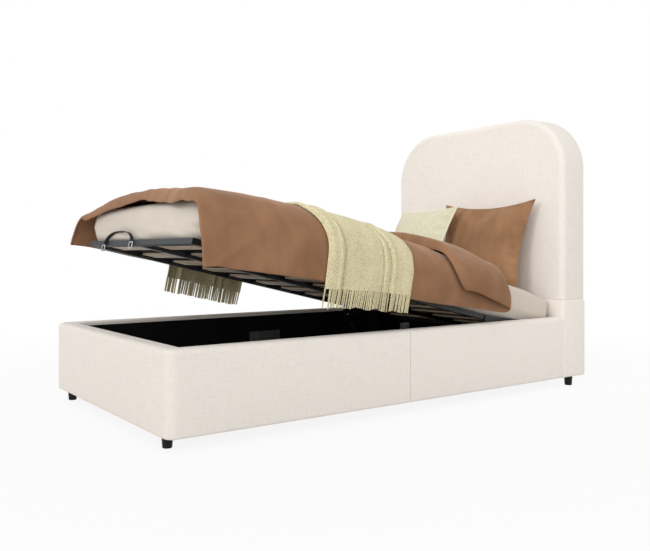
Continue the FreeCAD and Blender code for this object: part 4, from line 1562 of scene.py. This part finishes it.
    def line(self, path: float) -> ClothLine:
        """Follows the cloth from its lip at the foot to its turned back edge.

        Args:
            path: The cloth's length from the foot edge, below 0 on the lip.

        Returns:
            The line across the bed at that length.
        """
        main = self.foot_edge - self.head_edge
        back = self.turn_back - self.head_edge
        if path < 0.0:
            return ClothLine(self.foot_edge, droop=-path / self.lip)
        if path < main:
            return ClothLine(self.foot_edge - path)
        if path < main + self.turn:
            angle = (path - main) / self.turn * math.pi
            fold = (1.0 - math.cos(angle)) / 2
            s = self.head_edge - self.turn_depth * math.sin(angle)
            return ClothLine(s, self.fold_lift * fold, fold=fold, raised=fold)
        if path < main + self.turn + back:
            share = (path - main - self.turn) / back
            lay = self.fold_lift + self.fold_puff * math.sin(math.pi * share)
            return ClothLine(self.head_edge + share * back, lay, fold=1.0, raised=1.0)
        angle = (path - main - self.turn - back) / self.roll * math.pi / 2
        raised = math.cos(angle)
        lay = self.edge_gap + (self.fold_lift - self.edge_gap) * raised
        return ClothLine(self.turn_back + self.nose * math.sin(angle), lay, fold=1.0, raised=raised)

    def place(self, u: float, v: float) -> Vector:
        """Gives a point of the duvet's outside.

        Args:
            u: Along the cloth from its lip to its turned back edge, from 0 to 1.
            v: Across the cloth from the near hem to the far hem, from 0 to 1.

        Returns:
            The point in the row frame.
        """
        main = self.foot_edge - self.head_edge
        back = self.turn_back - self.head_edge
        path = u * (self.lip + main + self.turn + back + self.roll) - self.lip
        line = self.line(path)
        s, lay, fold, raised = line.s, line.lay, line.fold, line.raised
        near = self.near_hem.at(s) * (1.0 - fold) + self.fold_hem.at(s) * fold
        far = self.far_hem.at(s) * (1.0 - fold) + self.fold_hem.at(s) * fold
        run = self.half_top.at(s) + self.side_run(s, lay) + self.neck
        side, reach, whole = across_cloth(v, run - near, run - far)
        if path > main + self.turn:
            s = self.rounded(s, reach, whole)
        near_head = 1.0 - blend_step(s, *self.sweep_span)
        if path < main + self.turn:
            near_head = blend_step(path, main - self.sweep_length, main)
        s -= self.sweep * blend_step(reach, self.sweep_reach, whole) ** 2 * near_head
        x, w = self.section(s, reach, lay)
        out_x, out_w = self.outward(s, reach, lay)
        bump = self.wrinkle(side, s, reach) * (1.0 - self.fold_calm * raised)
        bump = max(bump, -self.side_dip - self.top_dip * (1.0 - blend_step(reach, *self.dip_span)))
        bump += self.side_gap * fold * (1.0 - raised) * blend_step(reach, *self.side_gap_span)
        x, w = x + out_x * bump, w + out_w * bump
        slope = 1.0 if path < main else blend_step(s, self.head_edge + self.rise_start, self.rise_end)
        w += self.fold_rise * raised * slope * max(0.0, 1.0 - (x / self.rise_half) ** 2)
        front = blend_step(s, *self.front_span)
        shift = self.near_front if side is Side.RIGHT else self.far_front
        s += shift.at(reach) * front
        if side is Side.LEFT:
            w -= self.far_sag * swell(reach, self.sag_middle, self.sag_width) * front
        if path < self.edge_zone:
            wave = self.edge_wave * noise.noise(Vector((x * 7.0, 2.7, side.value)))
            s += wave * blend_step(self.edge_zone - path, 0.0, self.edge_zone)
        if line.droop > 0.0:
            on_top = 1.0 - blend_step(reach, *self.lip_span)
            w -= self.lip_fall.at(side.value * x) * line.droop ** self.lip_power * on_top
            s += self.lip_push * math.sin(line.droop * math.pi / 2) * on_top
            x -= self.lip_draw * line.droop * (1.0 - on_top)
        return self.space.place(side.value * x, s, w)

    def build(self) -> None:
        piece = add_surface("turned_back_duvet", self.columns, self.rows, self.place)
        apply_modifier(piece, "SOLIDIFY", thickness=self.thickness, offset=-1.0)
        apply_modifier(piece, "SUBSURF", levels=1, render_levels=1)
        smooth(piece, SOFT_ANGLE)
        settle(piece, BROWN_SUEDE, "platform", "duvet_brown", "duvet")


@dataclass
class Throw:
    """The knitted throw laid across the duvet, with a fringe at both ends."""

    space: PlatformSpace
    duvet: Duvet
    columns: int = 96
    rows: int = 120
    thickness: float = 0.004

    # Place on the duvet
    foot_edge: float = 1.205
    width: float = 0.415
    lay: float = 0.0055
    far_hem: float = -0.075
    near_hem: Profile = Profile(((0.79, -0.022), (1.00, -0.046), (1.205, -0.077)))
    foot_skew: Profile = Profile(((0.0, 0.115), (0.30, 0.112), (0.42, 0.098), (0.50, 0.072), (0.58, 0.036),
                                  (0.66, 0.010), (0.80, 0.0)))
    head_skew: Profile = Profile(((0.0, 0.115), (0.30, 0.085), (0.42, 0.052), (0.52, 0.020), (0.62, 0.004),
                                  (0.80, 0.0)))
    far_skew: Profile = Profile(((0.0, 0.115), (0.40, 0.085), (0.60, 0.058), (0.80, 0.054)))

    # Pleats, each a middle, a rise and a width
    pleats: tuple[tuple[float, float, float], ...] = (
        (0.125, 0.005, 0.014), (0.172, -0.012, 0.009), (0.30, 0.003, 0.080), (0.50, 0.004, 0.080),
        (0.620, -0.010, 0.009), (0.650, 0.004, 0.016), (0.712, -0.012, 0.009), (0.750, 0.006, 0.024),
        (0.93, 0.004, 0.050))
    puff: float = 0.009
    strip: float = 0.150
    strip_step: float = 0.014
    strip_lift: float = 0.009
    fan: float = 0.05
    fan_span: Span = (0.50, 0.70)
    fan_reach: Span = (0.30, 0.70)
    top_depth: float = 0.45
    depth_reach: Span = (0.25, 0.60)
    top_loose: float = 0.2
    loose_reach: Span = (0.34, 0.60)
    edge_width: float = 0.035
    edge_drift: float = 0.004
    least_wrinkle: float = -0.002

    # Fringe
    strands: int = 52
    strand_length: float = 0.068
    strand_radius: float = 0.0032
    strand_tuck: float = 0.006
    strand_drift: float = 0.45
    strand_change: float = 0.06
    group_change: float = 0.12
    strand_steps: int = 4
    strand_turns: tuple[float, ...] = (0.4, 1.971, 3.542, 5.112)
    strand_taper: float = 0.25
    strand_flatness: float = 0.7
    strand_sway: float = 0.003
    group_sway: float = 0.004
    far_strand: float = 1.3

    def pleat(self, u: float, reach: float) -> float:
        """Gives the pleats' height at a place on the cloth.

        Args:
            u: Across the throw's width from the foot edge, from 0 to 1.
            reach: The cloth's length from the middle line.

        Returns:
            The height outwards.
        """
        fan = u + self.fan * blend_step(u, *self.fan_span) * (1.0 - blend_step(reach, *self.fan_reach))
        depth = self.top_depth + (1.0 - self.top_depth) * blend_step(reach, *self.depth_reach)
        height = sum(rise * swell(fan, middle, spread) for middle, rise, spread in self.pleats)
        step = self.strip_lift * (1.0 - blend_step(u, self.strip, self.strip + self.strip_step))
        edge = blend_step(min(u, 1.0 - u), 0.0, self.edge_width)
        loose = self.top_loose + (1.0 - self.top_loose) * blend_step(reach, *self.loose_reach)
        return max(0.0, (self.puff + step) * loose + height * depth) * edge

    def place(self, u: float, v: float) -> Vector:
        """Gives a point of the throw's outside.

        Args:
            u: Across the throw's width from the foot edge, from 0 to 1.
            v: Along the throw from the near hem to the far hem, from 0 to 1.

        Returns:
            The point in the row frame.
        """
        s = self.foot_edge - u * self.width
        run = self.duvet.half_top.at(s) + self.duvet.side_run(s, self.lay) + self.duvet.neck
        side, reach, _ = across_cloth(v, run - self.near_hem.at(s), run - self.far_hem)
        skew = self.far_skew.at(reach)
        if side is Side.RIGHT:
            skew = self.foot_skew.at(reach) * (1.0 - u) + self.head_skew.at(reach) * u
        s += skew
        x, w = self.duvet.section(s, reach, self.lay)
        out_x, out_w = self.duvet.outward(s, reach, self.lay)
        bump = self.pleat(u, reach) + max(self.duvet.wrinkle(side, s, reach), self.least_wrinkle)
        s += self.edge_drift * noise.noise(Vector((u * 3.0, reach * 5.0 * side.value, 9.0)))
        return self.space.place(side.value * (x + out_x * bump), s, w + out_w * bump)

    def strand(self, mesh: bmesh.types.BMesh, line: Sequence[Vector], along: Vector, radius: float) -> None:
        """Adds one closed strand.

        Args:
            mesh: The mesh that it is added to.
            line: The strand's middle line, from the hem to the tip.
            along: The direction along the hem.
            radius: The strand's radius at the hem.
        """
        rings = []
        for step, middle in enumerate(line):
            size = radius * (1.0 - self.strand_taper * step / self.strand_steps)
            flat = size * self.strand_flatness
            rings.append([mesh.verts.new(middle + along * (size * math.cos(turn))
                                         + Vector((flat * math.sin(turn), 0, 0)))
                          for turn in self.strand_turns])
        count = len(self.strand_turns)
        for upper, lower in zip(rings, rings[1:]):
            for corner in range(count):
                after = (corner + 1) % count
                mesh.faces.new((upper[corner], upper[after], lower[after], lower[corner]))
        mesh.faces.new(rings[0])
        mesh.faces.new(list(reversed(rings[-1])))

    def fringe(self, side: Side) -> Piece:
        """Builds the fringe of one end as thin hanging strands.

        Args:
            side: The side that the end hangs on.

        Returns:
            The fringe.
        """
        mesh = bmesh.new()
        sign = side.value
        edge, radius = 0.0, self.strand_radius
        if side is Side.LEFT:
            edge, radius = 1.0, self.strand_radius * self.far_strand
        origin = self.space.place(0.0, 0.0, 0.0)
        down = (self.space.place(0.0, 0.0, -1.0) - origin).normalized()
        along = (self.space.place(0.0, -1.0, 0.0) - origin).normalized()
        for index in range(self.strands):
            drift = noise.noise(Vector((index * 1.7, 5.5, sign)))
            share = (index + 0.5 + self.strand_drift * drift) / self.strands
            sway = noise.noise(Vector((index * 0.9, 3.1 * sign, 0.5)))
            group = noise.noise(Vector((index * 0.16, 8.3, sign)))
            length = self.strand_length * (1.0 + self.group_change * group + self.strand_change * sway)
            start = self.place(share, edge) - Vector((sign * self.thickness / 2, 0, 0))
            start -= down * self.strand_tuck
            line = []
            for step in range(self.strand_steps + 1):
                t = step / self.strand_steps
                bend = (sway * self.strand_sway + group * self.group_sway) * t * t
                out = Vector((sign * self.strand_sway * abs(sway) * t, 0, 0))
                line.append(start + down * ((length + self.strand_tuck) * t) + along * bend + out)
            self.strand(mesh, line, along, radius)
        bmesh.ops.recalc_face_normals(mesh, faces=mesh.faces)
        data = bpy.data.meshes.new(f"throw_fringe_{side.word}")
        mesh.to_mesh(data)
        mesh.free()
        piece = bpy.data.objects.new(f"throw_fringe_{side.word}", data)
        bpy.context.scene.collection.objects.link(piece)
        smooth(piece, BENT_ANGLE)
        settle(piece, GREEN_KNIT, "platform", "throw_green")
        return piece

    def build(self) -> None:
        piece = add_surface("knitted_throw", self.columns, self.rows, self.place)
        apply_modifier(piece, "SOLIDIFY", thickness=self.thickness, offset=-1.0)
        smooth(piece, SOFT_ANGLE)
        settle(piece, GREEN_KNIT, "platform", "throw_green", "throw")
        ends = [self.fringe(side) for side in Side]


@dataclass
class Pillow:
    """A scatter pillow with pointed corners, standing on the mattress."""

    space: PlatformSpace
    name: str
    node: str
    finish: Finish
    middle: float
    stand: float
    width: float
    height: float
    depth: float
    lean: float
    pull_side: float = 0.125
    pull_top: float = 0.11
    piping: float = 0.0035
    taper: float = 0.0
    flare: float = 0.0
    left_drop: float = 0.0
    left_full: float = 0.0
    welt: Finish | None = None
    cuts: int = 88
    voxel: float = 0.005
    seam_band: float = 0.004
    pressure: float = 4.0
    slack: float = 0.035
    most_swell: float = 0.010
    stiffness: float = 0.1
    frames: int = 20
    neighbours: int = 4
    least_gap: float = 0.001
    fullness: float = 0.46
    lump: float = 0.10
    seat_gap: float = 0.002
    cord_steps: int = 60
    cord_sides: int = 8
    weld: float = 0.0004
    smooth_angle: float = 70.0

    def outline(self, a: float, b: float) -> tuple[float, float]:
        """Gives the pillow's flat outline with its sides drawn in between the corners.

        Args:
            a: Across, from -1 to 1.
            b: Up, from -1 to 1.

        Returns:
            The place as x and height above the bottom corners.
        """
        pull = self.pull_side if a > 0.0 else self.pull_side - self.left_full
        x = self.width / 2 * a * (1.0 - pull * (1.0 - b * b) * a * a)
        up = self.height / 2 * (1.0 + b * (1.0 - self.pull_top * (1.0 - a * a) * b * b))
        if a > 0.0:
            x *= 1.0 + self.taper * (b - 1.0)
        else:
            x *= 1.0 + self.flare * (1.0 - b) / 2
            up += self.left_drop * a * (1.0 + b) / 2
        return x, up

    def fill_out(self, a: float, b: float) -> float:
        """Gives the filling's share of the full depth at a place.

        Args:
            a: Across, from -1 to 1.
            b: Up, from -1 to 1.

        Returns:
            The share, about 0 to 1.
        """
        edge = max(0.0, (1.0 - a * a) * (1.0 - b * b))
        lump = noise.noise(Vector((a * 2.3, b * 2.1, self.middle * 9))) * self.lump
        return edge ** self.fullness * (1.0 + lump * edge ** 0.2)

    def stand_up(self, point: Vector) -> Vector:
        """Puts a point of the pillow in its place on the mattress.

        Args:
            point: Across from the pillow's middle, out towards the foot, and up from its bottom corners.

        Returns:
            The point in the row frame.
        """
        x, out, up = point
        cosine, sine = math.cos(self.lean), math.sin(self.lean)
        s = self.stand - up * sine + out * cosine
        w = self.space.mattress_top + self.seat_gap + up * cosine + out * sine
        return self.space.place(self.middle + x, s, w)

    def face(self, sign: int) -> Piece:
        """Builds the pillow's front or back.

        Args:
            sign: 1 for the front, -1 for the back.

        Returns:
            The half pillow.
        """
        def on_face(u: float, v: float) -> Vector:
            """Gives a point of the half.

            Args:
                u: Across, from 0 to 1.
                v: Up, from 0 to 1.

            Returns:
                The point, not yet in its place.
            """
            a, b = (math.sin((2.0 * part - 1.0) * math.pi / 2) for part in (u, v))
            x, up = self.outline(a, b)
            return Vector((x, sign * self.depth / 2 * self.fill_out(a, b), up))
        return add_surface(f"{self.name}_half", self.cuts, self.cuts, on_face)

    def seam_cord(self) -> Piece:
        """Builds the thin piping that follows the pillow's seam.

        Returns:
            The piping.
        """
        count = self.cord_steps
        steps = [math.sin((step / count * 2.0 - 1.0) * math.pi / 2) for step in range(count)]
        rim = [self.outline(t, -1.0) for t in steps] + [self.outline(1.0, t) for t in steps]
        rim += [self.outline(-t, 1.0) for t in steps] + [self.outline(-1.0, -t) for t in steps]
        total = len(rim)

        def on_cord(u: float, v: float) -> Vector:
            """Gives a point of the piping.

            Args:
                u: Along the seam, from 0 to 1.
                v: Round the piping, from 0 to 1.

            Returns:
                The point, not yet in its place.
            """
            index = round(u * total) % total
            here, after, before = rim[index], rim[(index + 1) % total], rim[index - 1]
            run = Vector((after[0] - before[0], after[1] - before[1])).normalized()
            turn = v * 2 * math.pi
            push = self.piping * math.cos(turn)
            return Vector((here[0] + run.y * push, self.piping * math.sin(turn), here[1] - run.x * push))
        return add_surface(f"{self.name}_piping", total, self.cord_sides, on_cord)

    def inflate(self, cover: Piece, held: Sequence[int]) -> None:
        """Swells a closed cover by cloth simulation.

        Args:
            cover: The cover, which keeps its new shape.
            held: The points of its seam, which stay in place.
        """
        scene = bpy.context.scene
        seam = cover.vertex_groups.new(name="seam")
        seam.add(held, 1.0, "REPLACE")
        cloth = cover.modifiers.new("cover", "CLOTH")
        settings = cloth.settings
        settings.vertex_group_mass = seam.name
        settings.use_pressure = True
        settings.uniform_pressure_force = self.pressure
        settings.shrink_min = -self.slack
        settings.bending_stiffness = self.stiffness
        settings.effector_weights.gravity = 0.0
        cloth.point_cache.frame_start = 1
        cloth.point_cache.frame_end = self.frames
        for number in range(1, self.frames + 1):
            scene.frame_set(number)
        pick(cover)
        bpy.ops.object.modifier_apply(modifier=cloth.name)
        scene.frame_set(1)

    def crease(self, piece: Piece) -> None:
        """Swells a copy of the cover by cloth simulation and carries its creases to the piece.

        Args:
            piece: The closed pillow, not yet in its place.
        """
        cover = bpy.data.objects.new("cover", piece.data.copy())
        bpy.context.scene.collection.objects.link(cover)
        apply_modifier(cover, "REMESH", mode="VOXEL", voxel_size=self.voxel)
        start = [vertex.co.copy() for vertex in cover.data.vertices]
        self.inflate(cover, [index for index, place in enumerate(start) if abs(place.y) < self.seam_band])
        tree = kdtree.KDTree(len(start))
        moves = []
        for index, place in enumerate(start):
            tree.insert(place, index)
            move = cover.data.vertices[index].co - place
            moves.append(move * min(1.0, self.most_swell / max(move.length, TINY)))
        tree.balance()
        for vertex in piece.data.vertices:
            found = tree.find_n(vertex.co, self.neighbours)
            near = [(index, 1.0 / (gap + self.least_gap)) for _, index, gap in found]
            total = sum(weight for _, weight in near)
            vertex.co += sum((moves[index] * (weight / total) for index, weight in near), Vector((0, 0, 0)))
        bpy.data.objects.remove(cover)
        LOG.info("creased %s, largest move %.1f mm", piece.name, 1000 * max(move.length for move in moves))

    def build(self) -> None:
        piece = join_all(self.name, [self.face(1), self.face(-1)])
        close_up(piece, self.weld)
        self.crease(piece)
        cord = self.seam_cord()
        dress(piece, self.finish)
        dress(cord, self.welt or self.finish)
        piece = join_all(self.name, [piece, cord])
        for vertex in piece.data.vertices:
            vertex.co = self.stand_up(vertex.co)
        close_up(piece)
        smooth(piece, self.smooth_angle)
        settle(piece, None, self.node, self.node, self.node)


# Stage

@dataclass
class Studio:
    """The pale floor, the soft lights and the camera of the photograph."""

    camera_place: Place = (2.63664, -2.04889, 0.62475)
    camera_turn: float = 54.736
    lens: float = 40.542
    sensor: float = 36.0
    shift: Span = (0.03632, -0.03489)
    floor_size: float = 40.0
    floor_level: float = -0.0005
    floor_grey: float = 0.80
    floor_rough: float = 0.9
    fade_start: float = 1.4
    fade_end: float = 3.4
    fade_least: float = 0.89
    sky: float = 0.82
    warm: Colour = (1.0, 0.99, 0.975)
    cool: Colour = (0.92, 0.96, 1.0)
    key_power: float = 0.76
    key_way: Place = (-0.50, 0.87, -0.48)
    key_width: float = 50.0
    side_power: float = 3.2
    side_place: Place = (2.9, -1.0, 0.8)
    side_target: Place = (0.5, -0.4, 0.3)
    side_size: float = 2.0
    head_power: float = 104.0
    head_place: Place = (0.9, -2.2, 1.8)
    head_target: Place = (0.0, 0.95, 0.62)
    head_cone: float = 40.0
    head_softness: float = 0.5

    def background(self, tree: bpy.types.NodeTree) -> Socket:
        """Adds nodes that tell the rays that show the background.

        Args:
            tree: The node tree that they are added to.

        Returns:
            A factor that is 1 for camera, glossy and transmission rays.
        """
        rays = tree.nodes.new("ShaderNodeLightPath")
        total = rays.outputs["Is Camera Ray"]
        for name in ("Is Glossy Ray", "Is Transmission Ray"):
            node = tree.nodes.new("ShaderNodeMath")
            node.operation = "MAXIMUM"
            tree.links.new(total, node.inputs[0])
            tree.links.new(rays.outputs[name], node.inputs[1])
            total = node.outputs[0]
        return total

    def world(self) -> None:
        """Lights the scene evenly and shows a white background."""
        world = bpy.data.worlds.new("studio_world")
        bpy.context.scene.world = world
        world.use_nodes = True
        tree = world.node_tree
        tree.nodes.clear()
        mix = tree.nodes.new("ShaderNodeMixShader")
        for index, colour, strength in ((1, self.warm, self.sky), (2, EVEN, 1.0)):
            node = tree.nodes.new("ShaderNodeBackground")
            node.inputs["Color"].default_value = (*colour, 1.0)
            node.inputs["Strength"].default_value = strength
            tree.links.new(node.outputs["Background"], mix.inputs[index])
        output = tree.nodes.new("ShaderNodeOutputWorld")
        tree.links.new(self.background(tree), mix.inputs["Fac"])
        tree.links.new(mix.outputs["Shader"], output.inputs["Surface"])

    def floor(self) -> None:
        """Lays the pale floor, which keeps the bed's shadow and fades to white."""
        bpy.ops.object.select_all(action="DESELECT")
        bpy.ops.mesh.primitive_plane_add(size=self.floor_size, location=(0, 0, self.floor_level))
        piece = bpy.context.active_object
        piece.name = "studio_floor"
        bench = NodeBench("pale_floor")
        bench.set(Base_Color=(self.floor_grey, self.floor_grey, self.floor_grey, 1.0))
        bench.set(Roughness=self.floor_rough, Specular_IOR_Level=0.0)
        glow = bench.add("ShaderNodeEmission", Color=(*EVEN, 1.0))
        distance = bench.add("ShaderNodeVectorMath")
        distance.operation = "LENGTH"
        bench.join(bench.add("ShaderNodeTexCoord").outputs["Object"], distance.inputs[0])
        fade = bench.add("ShaderNodeMapRange", From_Min=self.fade_start, From_Max=self.fade_end,
                         To_Min=self.fade_least, To_Max=1.0)
        fade.interpolation_type = "SMOOTHSTEP"
        bench.join(distance.outputs["Value"], fade.inputs["Value"])
        share = bench.maths("MULTIPLY", self.background(bench.tree), fade.outputs["Result"])
        mix = bench.add("ShaderNodeMixShader")
        bench.join(share, mix.inputs["Fac"])
        bench.join(bench.shader.outputs["BSDF"], mix.inputs[1])
        bench.join(glow.outputs["Emission"], mix.inputs[2])
        bench.join(mix.outputs["Shader"], bench.output.inputs["Surface"])
        piece.data.materials.append(bench.material)

    def lamp(self, name: str, kind: str, power: float, colour: Colour, way: Vector,
             **settings: object) -> Piece:
        """Adds a lamp.

        Args:
            name: The lamp's name.
            kind: Blender's name of the light type.
            power: Its strength.
            colour: Its colour.
            way: The way that its light travels.
            settings: The light's other settings by name.

        Returns:
            The lamp.
        """
        data = bpy.data.lights.new(name, kind)
        data.energy = power
        data.color = colour
        for setting, value in settings.items():
            setattr(data, setting, value)
        lamp = bpy.data.objects.new(name, data)
        lamp.rotation_euler = way.to_track_quat("-Z", "Y").to_euler()
        bpy.context.scene.collection.objects.link(lamp)
        return lamp

    def lamps(self) -> None:
        """Adds a soft far lamp, and a panel and a spot lamp that the camera doesn't see."""
        self.lamp("key_lamp", "SUN", self.key_power, self.warm, Vector(self.key_way),
                  angle=math.radians(self.key_width))
        way = Vector(self.side_target) - Vector(self.side_place)
        panel = self.lamp("side_panel", "AREA", self.side_power, self.cool, way,
                          shape="SQUARE", size=self.side_size)
        way = Vector(self.head_target) - Vector(self.head_place)
        spot = self.lamp("head_spot", "SPOT", self.head_power, self.cool, way, spot_blend=1.0,
                         spot_size=math.radians(self.head_cone), shadow_soft_size=self.head_softness)
        for lamp, place in ((panel, self.side_place), (spot, self.head_place)):
            lamp.location = place
            lamp.visible_camera = False

    def camera(self) -> None:
        """Sets the camera where the photograph was taken from."""
        data = bpy.data.cameras.new("photo_camera")
        data.lens = self.lens
        data.sensor_width = self.sensor
        data.shift_x, data.shift_y = self.shift
        camera = bpy.data.objects.new("photo_camera", data)
        camera.location = self.camera_place
        camera.rotation_euler = (math.radians(90.0), 0.0, math.radians(self.camera_turn))
        bpy.context.scene.collection.objects.link(camera)
        bpy.context.scene.camera = camera

    def build(self) -> None:
        """Sets up the camera, floor and light."""
        self.camera()
        self.floor()
        self.world()
        self.lamps()
        bpy.context.scene.view_settings.view_transform = "Standard"


def main() -> None:
    """Builds the bed's looks."""
    logging.basicConfig(level=logging.INFO, format="%(name)s: %(message)s")
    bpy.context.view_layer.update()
    Studio().build()
    space = PlatformSpace.from_frame()
    UpholsteredBox().build()
    Headboard().build()
    StorageInside().build()
    LiftPlatform(space).build()
    Mattress(space).build()
    duvet = Duvet(space)
    duvet.build()
    Throw(space, duvet).build()
    Pillow(space, "brown_pillow", "pillow_brown", PILLOW_SUEDE, middle=0.158, stand=-0.040, width=0.566,
           height=0.450, depth=0.092, lean=0.0, pull_top=0.155, taper=0.045).build()
    Pillow(space, "knitted_pillow", "pillow_green", PALE_KNIT, middle=-0.145, stand=0.150, width=0.385,
           height=0.415, depth=0.074, lean=math.radians(12.5), pull_top=0.06, piping=0.0045, flare=0.05,
           left_drop=0.012, left_full=0.20, welt=PALE_WELT).build()
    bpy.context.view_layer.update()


if __name__ == "__main__":
    main()
